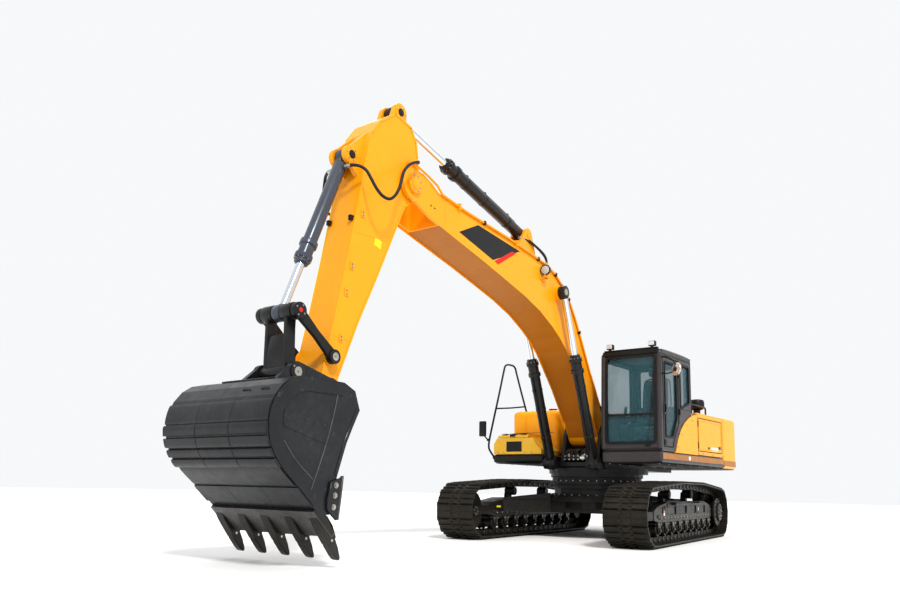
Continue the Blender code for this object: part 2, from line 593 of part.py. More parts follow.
RAIL = [(0.86, -1.4957, 1.300), (0.86, -1.530, 1.305), (0.862, -1.575, 1.360), (0.868, -1.605, 1.480), (0.862, -1.585, 1.620),
        (0.838, -1.530, 1.950), (0.700, -1.512, 2.400), (0.560, -1.500, 2.850), (0.520, -1.500, 2.930), (0.450, -1.500, 2.965),
        (0.240, -1.500, 2.965), (0.175, -1.500, 2.930), (0.155, -1.495, 2.850), (0.100, -1.460, 2.500), (0.020, -1.360, 2.140)]
rail = tube("rail", RAIL, 0.017, 2)
combine(rail, [tube("bar", [(0.775, -1.521, 2.150), (0.045, -1.388, 2.240)], 0.014, 2),
               rod("foot", (0.02, -1.36, 2.1312), (0.02, -1.36, 2.150), 0.035, 12)])
done(rail, "handrail", BLACK, UPPER)
mr = box("mr", (0.900, -1.760, 1.655), (0.960, -1.620, 1.925), 0.025, 2)
combine(mr, [tube("arm", [(0.893, -1.610, 1.600), (0.910, -1.638, 1.635), (0.930, -1.670, 1.680)], 0.012)])
done(mr, "right_mirror", BLACK, UPPER)

# ------------------------------------------------------------ boom
HOSE_BOSS = (5.357, 4.652)              # where the arm's hoses leave the boom
top = [(5.15, 4.590), (5.00, 4.530), (4.84, 4.440), (4.24, 4.385), (3.19, 4.290), (2.50, 4.200), (2.15, 4.150),
       (1.88, 4.060), (1.63, 3.900), (1.42, 3.700), (1.23, 3.450), (1.03, 3.130), (0.78, 2.700), (0.42, 2.150)]
low = [(0.62, 1.880), (1.02, 2.400), (1.50, 2.920), (1.72, 3.090), (1.95, 3.230), (2.33, 3.410), (2.77, 3.555),
       (3.22, 3.670), (3.80, 3.815), (4.57, 3.990), (5.00, 4.090), (5.28, 4.205)]
outline = (arc(FOOT, 0.185, 165, 345, 9) + low + arc(TIP, 0.200, -85, 85, 8) + top)
boom = prism("boom", outline, -BOOM_W, BOOM_W)
bits = []
for s in (-1, 1):
    a, b = sorted((s * 0.20, s * 0.335))
    bits.append(across("boss", CYL_HEAD, 0.115, *sorted((s * 0.20, s * 0.325)), 18))
    a, b = sorted((s * 0.075, s * 0.120))
    bits.append(prism("lug", [(2.14, 4.10)] + arc(ARM_CYL_BASE, 0.105, 150, 10, 6) + [(2.80, 4.18)], a, b))
    bits.append(across("tip_boss", TIP, 0.125, *sorted((s * 0.23, s * 0.300)), 18))
    bits.append(prism("hose_bracket", [(5.16, 4.50), (5.36, 4.50), (5.405, 4.64), (5.395, 4.69), (5.33, 4.69)],
                      *sorted((s * 0.226, s * 0.262))))
    bits.append(across("hose_boss", HOSE_BOSS, 0.026, *sorted((s * 0.24, s * 0.325)), 10))
combine(boom, bits)
cut(boom, [prism("fork", [(4.80, 3.8), (5.9, 3.8), (5.9, 5.0), (4.80, 5.0)], -0.219, 0.219),
           across("foot_bore", FOOT, 0.0632, -0.5, 0.5, 16)])
combine(boom, [across("arm_cyl_pin", ARM_CYL_BASE, 0.040, -0.13, 0.13, 12),
               across("tip_pin", TIP, 0.050, -0.31, 0.31, 16)])
done(boom, "boom", YELLOW, UPPER, pivot=pin3(FOOT, 0))

# hard pipes along both top edges, held by clamps across the boom's back
run = []
for i in range(2, len(top)):
    p, q, r = Vector(top[i - 1]), Vector(top[i]), Vector(top[min(i + 1, len(top) - 1)])
    t = (r - p).normalized()
    run.append((q.x - t.y * 0.024 * (1 if t.x < 0 else -1), q.y + t.x * 0.024 * (1 if t.x < 0 else -1)))
run = [(5.328, 4.652), (5.24, 4.628), (5.10, 4.592), (4.90, 4.525), (4.78, 4.435)] + run[1:]
pipes = tube("pipes", [(x, 0.2895, z) for x, z in run], 0.0155, 1)
bits = [tube("other", [(x, -0.2895, z) for x, z in run], 0.0155, 1)]
for x0, x1, z0 in ((3.00, 3.04, 4.2652 + 0.0057), (4.40, 4.44, 4.3997 + 0.0045)):
    bits.append(box("strap", (x0, -0.312, z0), (x1, 0.312, z0 + 0.018)))
    for s in (1, -1):
        a, b = sorted((s * 0.2706, s * 0.312))
        bits.append(box("leg", (x0, a, z0 - 0.062), (x1, b, z0 + 0.010)))
combine(pipes, bits)
done(pipes, "boom_pipes", BLACK, UPPER, pivot=pin3(FOOT, 0))

# the two free hoses from the boom's tip to the bucket cylinder's ports
HOSE = [(5.357, 0.3255, 4.652), (5.357, 0.348, 4.652), (5.385, 0.375, 4.645), (5.44, 0.395, 4.62),
        (5.52, 0.405, 4.58), (5.62, 0.415, 4.51), (5.72, 0.435, 4.40), (5.78, 0.455, 4.28),
        (5.83, 0.465, 4.16), (5.90, 0.468, 4.05), (5.99, 0.462, 3.98), (6.09, 0.445, 3.99),
        (6.165, 0.415, 4.065), (6.21, 0.375, 4.17), (6.245, 0.33, 4.265), (6.29, 0.27, 4.315),
        (6.33, 0.20, 4.33), (6.345, 0.165, 4.33), (6.345, 0.1355, 4.33)]
for s, tag in ((1, "left"), (-1, "right")):
    done(tube("hose", [(x, s * y, z) for x, y, z in HOSE], 0.018, 2), "arm_hose_" + tag, RUBBER, UPPER, pivot=pin3(FOOT, 0))


def cylinder(name, rod_name, base, head, y, r, collar, rod_r, gland, inner, eye_r, eye_w, bore_r, look, tail, port=None):
    """A hydraulic cylinder: a bored barrel with its base eye, and its rod
    with the eye at its end.  Lengths run from the base pin to the rod pin."""
    b, h = Vector(pin3(base, y)), Vector(pin3(head, y))
    u = (h - b).normalized()
    at = lambda s: b + u * s
    n = Vector((-u.z, 0.0, u.x))
    corner = lambda s, t: ((at(s) + n * t).x, (at(s) + n * t).z)
    barrel = rod(name, at(eye_r + 0.028), at(gland), r, 14)
    combine(barrel, [prism("neck", [corner(0.0, -r * 0.8), corner(eye_r + 0.034, -r * 0.8),
                                    corner(eye_r + 0.034, r * 0.8), corner(0.0, r * 0.8)],
                           y - eye_w + 0.003, y + eye_w - 0.003),
                     across("eye", base, eye_r, y - eye_w, y + eye_w, 14),
                     rod("collar", at(gland - 0.26), at(gland - 0.02), collar, 14),
                     rod("head", at(gland - 0.05), at(gland + 0.03), collar * 0.82, 14)])
    if port:
        combine(barrel, [across("port", port, 0.024, s * 0.062, s * 0.135, 10) for s in (1, -1)])
    cut(barrel, [rod("bore", at(tail), at(gland + 0.2), rod_r + 0.006, 12),
                 across("pin_bore", base, bore_r, y - 0.3, y + 0.3, 12)])
    done(barrel, name, look, UPPER, pivot=b)
    length = (h - b).length
    rd = rod(rod_name, at(inner), at(length - eye_r * 0.55), rod_r, 12)
    combine(rd, [across("eye", head, eye_r, y - eye_w, y + eye_w, 14)])
    done(rd, rod_name, CHROME, UPPER, pivot=h)


PORT = (6.345, 4.330)                     # hose ports on the bucket cylinder
for s, tag in ((1, "left"), (-1, "right")):
    cylinder("boom_cylinder_" + tag, "boom_rod_" + tag, CYL_FOOT, CYL_HEAD, s * CYL_Y, 0.080, 0.099, 0.050,
             1.730, 1.20, 0.100, 0.047, 0.0480, BLACK, 0.30)
cylinder("arm_cylinder", "arm_rod", ARM_CYL_BASE, ARM_CYL_ROD, 0.0, 0.085, 0.108, 0.053,
         2.000, 1.14, 0.098, 0.060, 0.0460, BLACK, 0.137)
cylinder("bucket_cylinder", "bucket_rod", BKT_CYL_BASE, KNUCKLE, 0.0, 0.078, 0.098, 0.046,
         1.480, 0.508, 0.090, 0.055, 0.0460, CYLGREY, 0.130, PORT)

# ------------------------------------------------------------ arm
arm_line = ([(6.705, 1.900), (6.530, 2.600), (6.380, 3.260), (6.235, 3.940), (6.160, 4.380), (6.050, 4.830),
             (5.900, 5.030), (5.640, 5.215)]
            + [(5.545, 5.205), (5.330, 5.150), (5.225, 4.980), (5.190, 4.800)]
            + arc(TIP, 0.200, 160, 215, 4)
            + [(5.300, 4.190), (5.420, 4.100), (5.870, 3.150), (6.170, 2.550), (6.440, 1.930)]
            + arc(BUCKET_PIN, 0.140, 195, 360, 8))
arm = prism("arm", arm_line, -ARM_W, ARM_W)
bits = []
for s in (-1, 1):
    a, b = sorted((s * 0.072, s * 0.130))
    bits.append(prism("ear", [(5.66, 5.05)] + arc(ARM_CYL_ROD, 0.115, 20, 200, 9) + [(5.34, 5.02)], a, b))
    bits.append(prism("ear2", [(6.02, 4.86)] + arc(BKT_CYL_BASE, 0.110, 80, -80, 8) + [(6.10, 4.20)], a, b))
combine(arm, bits)
cut(arm, [across("tip_bore", TIP, 0.0580, -0.4, 0.4, 16),
          across("bucket_bore", BUCKET_PIN, 0.0530, -0.4, 0.4, 16)])
combine(arm, [across("idler_pin", IDLER_PIN, 0.040, -0.292, 0.292, 12),
              across("bkt_cyl_pin", BKT_CYL_BASE, 0.039, -0.14, 0.14, 12)])
done(arm, "arm", YELLOW, UPPER, pivot=pin3(TIP, 0))

# ------------------------------------------------------------ bucket linkage
for s, tag in ((1, "left"), (-1, "right")):
    a, b = sorted((s * 0.236, s * 0.282))
    lk = prism("lk", [polar(IDLER_PIN, 0.055, angle(IDLER_PIN, KNUCKLE) - 90), polar(KNUCKLE, 0.055, angle(IDLER_PIN, KNUCKLE) - 90),
                      polar(KNUCKLE, 0.055, angle(IDLER_PIN, KNUCKLE) + 90), polar(IDLER_PIN, 0.055, angle(IDLER_PIN, KNUCKLE) + 90)], a, b)
    combine(lk, [across("e1", KNUCKLE, 0.085, *sorted((s * 0.230, s * 0.300)), 18),
                 across("e2", IDLER_PIN, 0.078, *sorted((s * 0.225, s * 0.300)), 18)])
    cut(lk, [across("b", IDLER_PIN, 0.0460, *sorted((s * 0.1, s * 0.294)), 12)])
    done(lk, "idler_link_" + tag, BLACK, UPPER, pivot=pin3(IDLER_PIN, s * 0.26))

u = (Vector(KNUCKLE) - Vector(LINK_PIN)).normalized()
nrm = Vector((-u.y, u.x))
P_ = lambda s, t: tuple(Vector(LINK_PIN) + u * s + nrm * t)
ln = (Vector(KNUCKLE) - Vector(LINK_PIN)).length
link = across("bucket_link", LINK_PIN, 0.085, -0.205, 0.205, 18)
bits = []
for s in (-1, 1):
    a, b = sorted((s * 0.120, s * 0.165))
    bits.append(prism("rail", [P_(0, -0.06), P_(ln, -0.065), P_(ln, 0.065), P_(0, 0.06)], a, b))
    bits.append(across("boss", KNUCKLE, 0.092, *sorted((s * 0.068, s * 0.222)), 18))
bits.append(prism("web", [P_(0.05, -0.045), P_(ln - 0.235, -0.050), P_(ln - 0.235, -0.005), P_(0.05, 0.045)], -0.13, 0.13))
combine(link, bits)
cut(link, [across("bore", LINK_PIN, 0.0470, -0.4, 0.4, 14)])
done(link, "bucket_link", BLACK, UPPER, pivot=pin3(LINK_PIN, 0))

# ------------------------------------------------------------ bucket
OUT = [(6.900, 1.762), (7.300, 1.772), (7.440, 1.780), (7.590, 1.745), (7.700, 1.675), (7.790, 1.570), (7.845, 1.450),
       (7.865, 1.300), (7.840, 1.150), (7.765, 1.010), (7.640, 0.885), (7.480, 0.755), (7.280, 0.580),
       (7.190, 0.500), (7.060, 0.500), (6.975, 0.860), (6.860, 1.180), (6.690, 1.520), (6.760, 1.700)]
inner = [(6.900, 1.728), (7.300, 1.738), (7.430, 1.746), (7.570, 1.712), (7.673, 1.647), (7.758, 1.550), (7.810, 1.440),
         (7.829, 1.302), (7.806, 1.165), (7.738, 1.035), (7.616, 0.912), (7.457, 0.783), (7.258, 0.608),
         (7.150, 0.513), (6.900, 0.300), (6.300, 0.300), (6.300, 1.728)]
bucket = prism("bucket", OUT, -BUCKET_W, BUCKET_W)
cut(bucket, [prism("hollow", inner, -BUCKET_W + 0.032, BUCKET_W - 0.032)])
cut(bucket, [box("notch", (6.4, -0.36, 1.60), (6.905, 0.36, 2.0))])
bits = []
for s in (-1, 1):
    a, b = sorted((s * 0.222, s * 0.282))
    bits.append(prism("ear", [(6.765, 1.652), (6.935, 1.692), (7.315, 1.757), (7.405, 1.764)] + arc(LINK_PIN, 0.105, 25, 110, 4)
                      + arc(BUCKET_PIN, 0.135, 80, 250, 8), a, b))
combine(bucket, bits)
combine(bucket, [across("bucket_pin", BUCKET_PIN, 0.045, -0.292, 0.292, 14),
                 across("link_pin", LINK_PIN, 0.040, -0.292, 0.292, 12)])
done(bucket, "bucket", BLACK, UPPER, pivot=pin3(BUCKET_PIN, 0))

lip = prism("lip", [(7.1895, 0.4990), (7.250, 0.548), (7.262, 0.530), (7.020, 0.300), (6.985, 0.330), (7.100, 0.4990)],
            -BUCKET_W, BUCKET_W)
TEETH = [(-0.70 + 0.35 * i) for i in range(5)]
bits = []
for yc in TEETH:
    bits.append(prism("adapter", [(7.205, 0.460), (7.160, 0.400), (7.025, 0.225), (6.955, 0.285), (7.010, 0.400), (7.085, 0.490)],
                      yc - 0.052, yc + 0.052))
    bits.append(prism("tooth", [(7.050, 0.270), (6.905, 0.085), (6.885, 0.080), (6.880, 0.100), (6.965, 0.310)],
                      yc - 0.040, yc + 0.040))
combine(lip, bits)
done(lip, "bucket_teeth", STEEL, UPPER, pivot=pin3(BUCKET_PIN, 0))
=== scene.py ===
"""Looks for the crawler excavator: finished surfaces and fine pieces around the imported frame.

Metres.  Most pieces are laid out in machine coordinates (X and Y from the
slewing axis, Z from the ground) and moved into the frame by U for the upper
structure or L for the undercarriage.
"""
import bpy
import bmesh
import math
import random
import numpy as np
from mathutils import Vector, Matrix


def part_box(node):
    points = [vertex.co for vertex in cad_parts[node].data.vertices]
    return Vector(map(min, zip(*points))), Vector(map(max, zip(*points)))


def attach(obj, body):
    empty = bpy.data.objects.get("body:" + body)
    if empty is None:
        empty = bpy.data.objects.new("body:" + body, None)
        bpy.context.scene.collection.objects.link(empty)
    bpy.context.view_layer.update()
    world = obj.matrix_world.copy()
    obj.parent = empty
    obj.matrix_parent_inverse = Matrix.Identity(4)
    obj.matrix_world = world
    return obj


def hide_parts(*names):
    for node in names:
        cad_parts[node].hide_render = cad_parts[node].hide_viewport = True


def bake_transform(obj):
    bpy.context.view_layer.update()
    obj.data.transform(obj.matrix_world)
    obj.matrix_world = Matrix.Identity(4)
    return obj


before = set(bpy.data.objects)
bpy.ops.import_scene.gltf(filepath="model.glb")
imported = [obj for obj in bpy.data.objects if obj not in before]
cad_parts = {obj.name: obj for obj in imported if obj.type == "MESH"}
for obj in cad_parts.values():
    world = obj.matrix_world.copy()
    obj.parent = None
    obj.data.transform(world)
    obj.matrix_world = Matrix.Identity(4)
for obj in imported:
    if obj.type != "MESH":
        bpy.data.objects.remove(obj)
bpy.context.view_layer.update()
random.seed(7)

SX, SY, YAW = -2.3950, -0.0058, 0.1132
U = Matrix.Translation((SX, SY, 0.0))
L = U @ Matrix.Rotation(YAW, 4, 'Z')

# ------------------------------------------------------------ dimensions
GAUGE, SHOE_W = 2.602, 0.612
IDLER_X, SPROCKET_X = 2.147, -2.039
TRACK_R, TRACK_TOP = 0.430, 0.938
CARRIER_X, CARRIER_R = (0.619, -0.712), 0.070
BAND, SHOES = 0.130, 51
FOOT, CYL_FOOT, CYL_HEAD = (0.30, 1.68), (0.86, 1.19), (1.82, 3.76)
TIP, ARM_CYL_BASE, ARM_CYL_ROD = (5.33, 4.41), (2.42, 4.56), (5.45, 5.32)
BKT_CYL_BASE, KNUCKLE, IDLER_PIN = (6.28, 4.49), (7.107, 2.515), (6.59, 2.11)
LINK_PIN, BUCKET_PIN = (7.10, 1.89), (6.62, 1.75)
BOOM_W, ARM_W, CYL_Y, BUCKET_W = 0.270, 0.207, 0.385, 0.760
SIDE_Y, CAB_R, CAB_L, CAB_TOP, HOUSE_TOP, DECK_TOP = 1.495, 0.500, 1.490, 2.955, 2.070, 1.374
X0, X1 = -1.950, -0.620


# ------------------------------------------------------------ materials
def srgb(r, g, b):
    f = lambda c: c / 12.92 if c <= 0.04045 else ((c + 0.055) / 1.055) ** 2.4
    return (f(r / 255), f(g / 255), f(b / 255))


def surface(name, col, rough, metal=0.0, vary=0.10, dirt=None, dirt_amount=0.0, dirt_scale=3.0,
            bump=0.0, bump_scale=200.0, coat=0.0, grain=(1, 1, 1), low_dust=None, scratch=0.0, spec=0.32):
    """Paint, steel, rubber or plastic: a base colour that drifts, dust or grime
    in patches and towards the ground, scratches, and a fine bump."""
    m = bpy.data.materials.new(name)
    m.use_nodes = True
    nt = m.node_tree
    p = nt.nodes["Principled BSDF"]
    p.inputs["Metallic"].default_value = metal
    p.inputs["Specular IOR Level"].default_value = spec
    p.inputs["Coat Weight"].default_value = coat * 0.5
    p.inputs["Coat Roughness"].default_value = 0.12
    tc = nt.nodes.new("ShaderNodeTexCoord")
    mp = nt.nodes.new("ShaderNodeMapping")
    mp.inputs["Scale"].default_value = grain
    nt.links.new(tc.outputs["Object"], mp.inputs["Vector"])

    def noise(scale, detail=4.0, rough_=0.55, src=mp):
        n = nt.nodes.new("ShaderNodeTexNoise")
        n.inputs["Scale"].default_value = scale
        n.inputs["Detail"].default_value = detail
        n.inputs["Roughness"].default_value = rough_
        nt.links.new(src.outputs[0], n.inputs["Vector"])
        return n

    def remap(out, a, b, c, d):
        r = nt.nodes.new("ShaderNodeMapRange")
        r.inputs["From Min"].default_value = a
        r.inputs["From Max"].default_value = b
        r.inputs["To Min"].default_value = c
        r.inputs["To Max"].default_value = d
        nt.links.new(out, r.inputs["Value"])
        return r.outputs["Result"]

    def mix(fac, a, b):
        x = nt.nodes.new("ShaderNodeMix")
        x.data_type = 'RGBA'
        nt.links.new(fac, x.inputs["Factor"])
        for s, v in ((6, a), (7, b)):
            if isinstance(v, tuple):
                x.inputs[s].default_value = (*v, 1.0)
            else:
                nt.links.new(v, x.inputs[s])
        return x.outputs[2]

    dark = tuple(c * (1 - vary) for c in col)
    lite = tuple(min(1.0, c * (1 + vary * 0.6)) for c in col)
    big = noise(2.2, 5.0)
    colour = mix(remap(big.outputs["Fac"], 0.3, 0.7, 0, 1), dark, lite)
    if dirt:
        fine = noise(dirt_scale * 6, 8.0, 0.65)
        patch = noise(dirt_scale, 5.0, 0.6)
        mul = nt.nodes.new("ShaderNodeMath")
        mul.operation = 'MULTIPLY'
        nt.links.new(remap(fine.outputs["Fac"], 0.42, 0.72, 0, 1), mul.inputs[0])
        nt.links.new(remap(patch.outputs["Fac"], 0.38, 0.68, 0, dirt_amount), mul.inputs[1])
        colour = mix(mul.outputs[0], colour, dirt)
    if low_dust:
        z0, z1, dust, amount = low_dust
        sep = nt.nodes.new("ShaderNodeSeparateXYZ")
        nt.links.new(tc.outputs["Object"], sep.inputs[0])
        n2 = noise(5.0, 6.0)
        g = nt.nodes.new("ShaderNodeMath")
        g.operation = 'MULTIPLY'
        nt.links.new(remap(sep.outputs["Z"], z0, z1, amount, 0.0), g.inputs[0])
        nt.links.new(remap(n2.outputs["Fac"], 0.30, 0.70, 0.35, 1.0), g.inputs[1])
        colour = mix(g.outputs[0], colour, dust)
    if scratch:
        sc = nt.nodes.new("ShaderNodeMapping")
        sc.inputs["Scale"].default_value = (3.0, 60.0, 3.0)
        sc.inputs["Rotation"].default_value = (0.5, 0.2, 0.9)
        nt.links.new(tc.outputs["Object"], sc.inputs["Vector"])
        s_ = noise(4.0, 3.0, 0.5, sc)
        colour = mix(remap(s_.outputs["Fac"], 0.66, 0.74, 0.0, scratch), colour, (0.30, 0.29, 0.27))
    nt.links.new(colour, p.inputs["Base Color"])
    rn = noise(9.0, 5.0)
    nt.links.new(remap(rn.outputs["Fac"], 0.3, 0.7, max(0.02, rough - 0.07), rough + 0.09), p.inputs["Roughness"])
    if bump:
        b = nt.nodes.new("ShaderNodeBump")
        b.inputs["Strength"].default_value = bump
        b.inputs["Distance"].default_value = 0.002
        nt.links.new(noise(bump_scale, 3.0).outputs["Fac"], b.inputs["Height"])
        nt.links.new(b.outputs["Normal"], p.inputs["Normal"])
    return m


DUST = (0.16, 0.115, 0.07)
YEL = surface("paint_yellow", (0.93, 0.370, 0.005), 0.33, vary=0.04, dirt=(0.72, 0.27, 0.012), dirt_amount=0.20,
              dirt_scale=1.3, bump=0.05, bump_scale=260, coat=0.25)
YEL2 = surface("paint_yellow_light", (0.95, 0.47, 0.035), 0.30, vary=0.04, dirt=(0.72, 0.30, 0.015), dirt_amount=0.15,
               dirt_scale=2.0, bump=0.04, bump_scale=260, coat=0.3)
BODY = surface("paint_body_yellow", (0.94, 0.400, 0.004), 0.30, vary=0.04, dirt=(0.70, 0.26, 0.01), dirt_amount=0.22,
               dirt_scale=1.5, bump=0.04, bump_scale=260, coat=0.3)
# the toolbox's yellow: a brighter copy of the paint whose extra brightness is a painted highlight; its dirt patches are
# dirt
YEL_PAINTED_HIGHLIGHT = surface("paint_yellow_painted_highlight", (0.96, 0.56, 0.035), 0.30, vary=0.05, dirt=(0.75, 0.38, 0.02), dirt_amount=0.2,
              dirt_scale=3.0, bump=0.04, bump_scale=260, coat=0.3)
BLK = surface("paint_black", (0.012, 0.012, 0.013), 0.38, vary=0.25, dirt=(0.045, 0.038, 0.030), dirt_amount=0.45,
              dirt_scale=3.0, bump=0.08, bump_scale=160, coat=0.1)
UND = surface("paint_undercarriage", (0.011, 0.011, 0.012), 0.40, vary=0.3, dirt=(0.055, 0.045, 0.032), dirt_amount=0.5,
              dirt_scale=4.0, bump=0.12, bump_scale=120, low_dust=(0.05, 0.75, (0.070, 0.057, 0.042), 0.5))
CAB = surface("paint_cab_charcoal", (0.050, 0.045, 0.047), 0.33, vary=0.10, dirt=(0.085, 0.075, 0.068), dirt_amount=0.35,
              dirt_scale=2.5, bump=0.04, bump_scale=240, coat=0.25)
CYL = surface("paint_cylinder_blue_grey", (0.060, 0.070, 0.092), 0.30, vary=0.12, dirt=(0.11, 0.11, 0.11), dirt_amount=0.3,
              dirt_scale=4.0, bump=0.04, bump_scale=240, coat=0.35)
CYLB = surface("paint_cylinder_black", (0.014, 0.013, 0.014), 0.32, vary=0.2, dirt=(0.07, 0.06, 0.05), dirt_amount=0.35,
               dirt_scale=4.0, bump=0.05, bump_scale=240, coat=0.25)
BKT = surface("paint_bucket", (0.017, 0.018, 0.021), 0.32, vary=0.22, dirt=(0.060, 0.056, 0.050), dirt_amount=0.5,
              dirt_scale=2.2, bump=0.06, bump_scale=130, coat=0.2, scratch=0.10)
EDGE = surface("steel_worn_edge", (0.16, 0.155, 0.15), 0.42, metal=0.7, vary=0.35, dirt=(0.035, 0.032, 0.030),
               dirt_amount=0.9, dirt_scale=9.0, bump=0.15, bump_scale=90, scratch=0.35)
TOOTH = surface("steel_teeth", (0.040, 0.038, 0.036), 0.40, metal=0.5, vary=0.3, dirt=(0.085, 0.070, 0.055),
                dirt_amount=0.6, dirt_scale=8.0, bump=0.25, bump_scale=70, scratch=0.25)
SHOE = surface("steel_track_shoe", (0.026, 0.024, 0.020), 0.42, metal=0.35, vary=0.3, dirt=(0.105, 0.082, 0.055),
               dirt_amount=0.55, dirt_scale=7.0, bump=0.25, bump_scale=70, scratch=0.12)
LINKM = surface("steel_track_link", (0.030, 0.028, 0.025), 0.48, metal=0.4, vary=0.3, dirt=(0.09, 0.07, 0.05),
                dirt_amount=0.6, dirt_scale=9.0, bump=0.25, bump_scale=80)
CHR = surface("chrome_rod_surface", (0.72, 0.75, 0.79), 0.10, metal=1.0, vary=0.04, grain=(1, 1, 6))
ZINC = surface("zinc_fitting", (0.52, 0.50, 0.44), 0.30, metal=0.9, vary=0.2, dirt=(0.15, 0.12, 0.08), dirt_amount=0.5,
               dirt_scale=20.0, bump=0.1)
RUB = surface("hose_rubber_black", (0.017, 0.017, 0.018), 0.46, vary=0.2, dirt=(0.06, 0.055, 0.05), dirt_amount=0.4,
              dirt_scale=12.0, bump=0.25, bump_scale=420)
GSK = surface("gasket_rubber", (0.014, 0.014, 0.015), 0.55, vary=0.2, bump=0.12, bump_scale=300)
PLA = surface("plastic_dark", (0.055, 0.055, 0.058), 0.55, vary=0.12, dirt=(0.10, 0.095, 0.09), dirt_amount=0.3,
              dirt_scale=8.0, bump=0.3, bump_scale=500)
GRIP = surface("plastic_grip", (0.020, 0.020, 0.022), 0.45, vary=0.15, bump=0.35, bump_scale=600)
WHT = surface("plate_white", (0.78, 0.78, 0.75), 0.38, vary=0.04, dirt=(0.5, 0.45, 0.36), dirt_amount=0.35, dirt_scale=14.0)
LBL = surface("plate_yellow", (0.93, 0.78, 0.02), 0.35, vary=0.04, dirt=(0.6, 0.45, 0.02), dirt_amount=0.3, dirt_scale=14.0)
RED = surface("stripe_red", (0.62, 0.020, 0.008), 0.33, vary=0.05, dirt=(0.45, 0.03, 0.01), dirt_amount=0.3, dirt_scale=6.0)
# the boom's underside: a darker copy of the yellow paint whose darkness is painted shade; its dirt patches are dirt
BOOM_BELLY_PAINTED_SHADE = surface("paint_yellow_underside_painted_shade", (0.46, 0.155, 0.006), 0.42, vary=0.06, dirt=(0.36, 0.15, 0.02), dirt_amount=0.35,
                dirt_scale=2.5, bump=0.05, bump_scale=220)
DECAL = surface("stripe_black", (0.012, 0.012, 0.013), 0.34, vary=0.1, dirt=(0.05, 0.045, 0.04), dirt_amount=0.25, dirt_scale=6.0)
SKIRT = surface("skirt_orange_brown", (0.42, 0.175, 0.045), 0.42, vary=0.10, dirt=(0.22, 0.10, 0.04), dirt_amount=0.5,
                dirt_scale=3.0, bump=0.05)
SILVER = surface("trim_silver", (0.62, 0.63, 0.66), 0.22, metal=0.8, vary=0.08, bump=0.03)
LINER = surface("cab_lining", (0.155, 0.150, 0.140), 0.75, vary=0.08, bump=0.4, bump_scale=380)
ORANGE = surface("lens_amber", (0.85, 0.20, 0.01), 0.15, vary=0.05, coat=0.5)
REDL = surface("lens_red", (0.55, 0.015, 0.01), 0.15, vary=0.05, coat=0.5)
MIRR = surface("mirror_silvered", (0.85, 0.87, 0.90), 0.03, metal=1.0, vary=0.02)


def glass(name, tint, alpha, rough=0.02):
    m = bpy.data.materials.new(name)
    m.use_nodes = True
    p = m.node_tree.nodes["Principled BSDF"]
    p.inputs["Base Color"].default_value = (*tint, 1.0)
    p.inputs["Alpha"].default_value = alpha
    p.inputs["Metallic"].default_value = 0.0
    p.inputs["IOR"].default_value = 1.52
    p.inputs["Coat Weight"].default_value = 0.55
    p.inputs["Coat Roughness"].default_value = rough
    nt = m.node_tree
    tc = nt.nodes.new("ShaderNodeTexCoord")
    n = nt.nodes.new("ShaderNodeTexNoise")
    n.inputs["Scale"].default_value = 1.6
    nt.links.new(tc.outputs["Object"], n.inputs["Vector"])
    r = nt.nodes.new("ShaderNodeMapRange")
    r.inputs["From Min"].default_value = 0.3
    r.inputs["From Max"].default_value = 0.7
    r.inputs["To Min"].default_value = rough
    r.inputs["To Max"].default_value = rough + 0.05
    nt.links.new(n.outputs["Fac"], r.inputs["Value"])
    nt.links.new(r.outputs["Result"], p.inputs["Roughness"])
    return m


GLS = glass("glass_cab_tinted", (0.050, 0.180, 0.220), 0.25)
GLS2 = glass("glass_cab_side", (0.030, 0.110, 0.135), 0.36)
LENS = glass("glass_lamp_lens", (0.86, 0.88, 0.90), 0.55, 0.05)


def fabric(name, col):
    m = bpy.data.materials.new(name)
    m.use_nodes = True
    nt = m.node_tree
    p = nt.nodes["Principled BSDF"]
    p.inputs["Roughness"].default_value = 0.88
    p.inputs["Sheen Weight"].default_value = 0.35
    p.inputs["Sheen Roughness"].default_value = 0.5
    tc = nt.nodes.new("ShaderNodeTexCoord")
    heights = []
    for rot in ((0.0, 0.0, 0.0), (math.pi / 2, 0.0, 0.0)):
        mp = nt.nodes.new("ShaderNodeMapping")
        mp.inputs["Rotation"].default_value = rot
        nt.links.new(tc.outputs["Object"], mp.inputs["Vector"])
        for axis in 'XY':
            w = nt.nodes.new("ShaderNodeTexWave")
            w.bands_direction = axis
            w.inputs["Scale"].default_value = 160.0
            w.inputs["Distortion"].default_value = 0.6
            nt.links.new(mp.outputs[0], w.inputs["Vector"])
            heights.append(w.outputs["Fac"])
    add = heights[0]
    for h in heights[1:]:
        a = nt.nodes.new("ShaderNodeMath")
        a.operation = 'MAXIMUM'
        nt.links.new(add, a.inputs[0])
        nt.links.new(h, a.inputs[1])
        add = a.outputs[0]
    mx = nt.nodes.new("ShaderNodeMix")
    mx.data_type = 'RGBA'
    nt.links.new(add, mx.inputs["Factor"])
    mx.inputs[6].default_value = (*[c * 0.55 for c in col], 1)
    mx.inputs[7].default_value = (*[min(1, c * 1.25) for c in col], 1)
    nt.links.new(mx.outputs[2], p.inputs["Base Color"])
    b = nt.nodes.new("ShaderNodeBump")
    b.inputs["Strength"].default_value = 0.5
    b.inputs["Distance"].default_value = 0.002
    nt.links.new(add, b.inputs["Height"])
    nt.links.new(b.outputs["Normal"], p.inputs["Normal"])
    return m


FAB = fabric("fabric_seat_weave", (0.060, 0.060, 0.066))

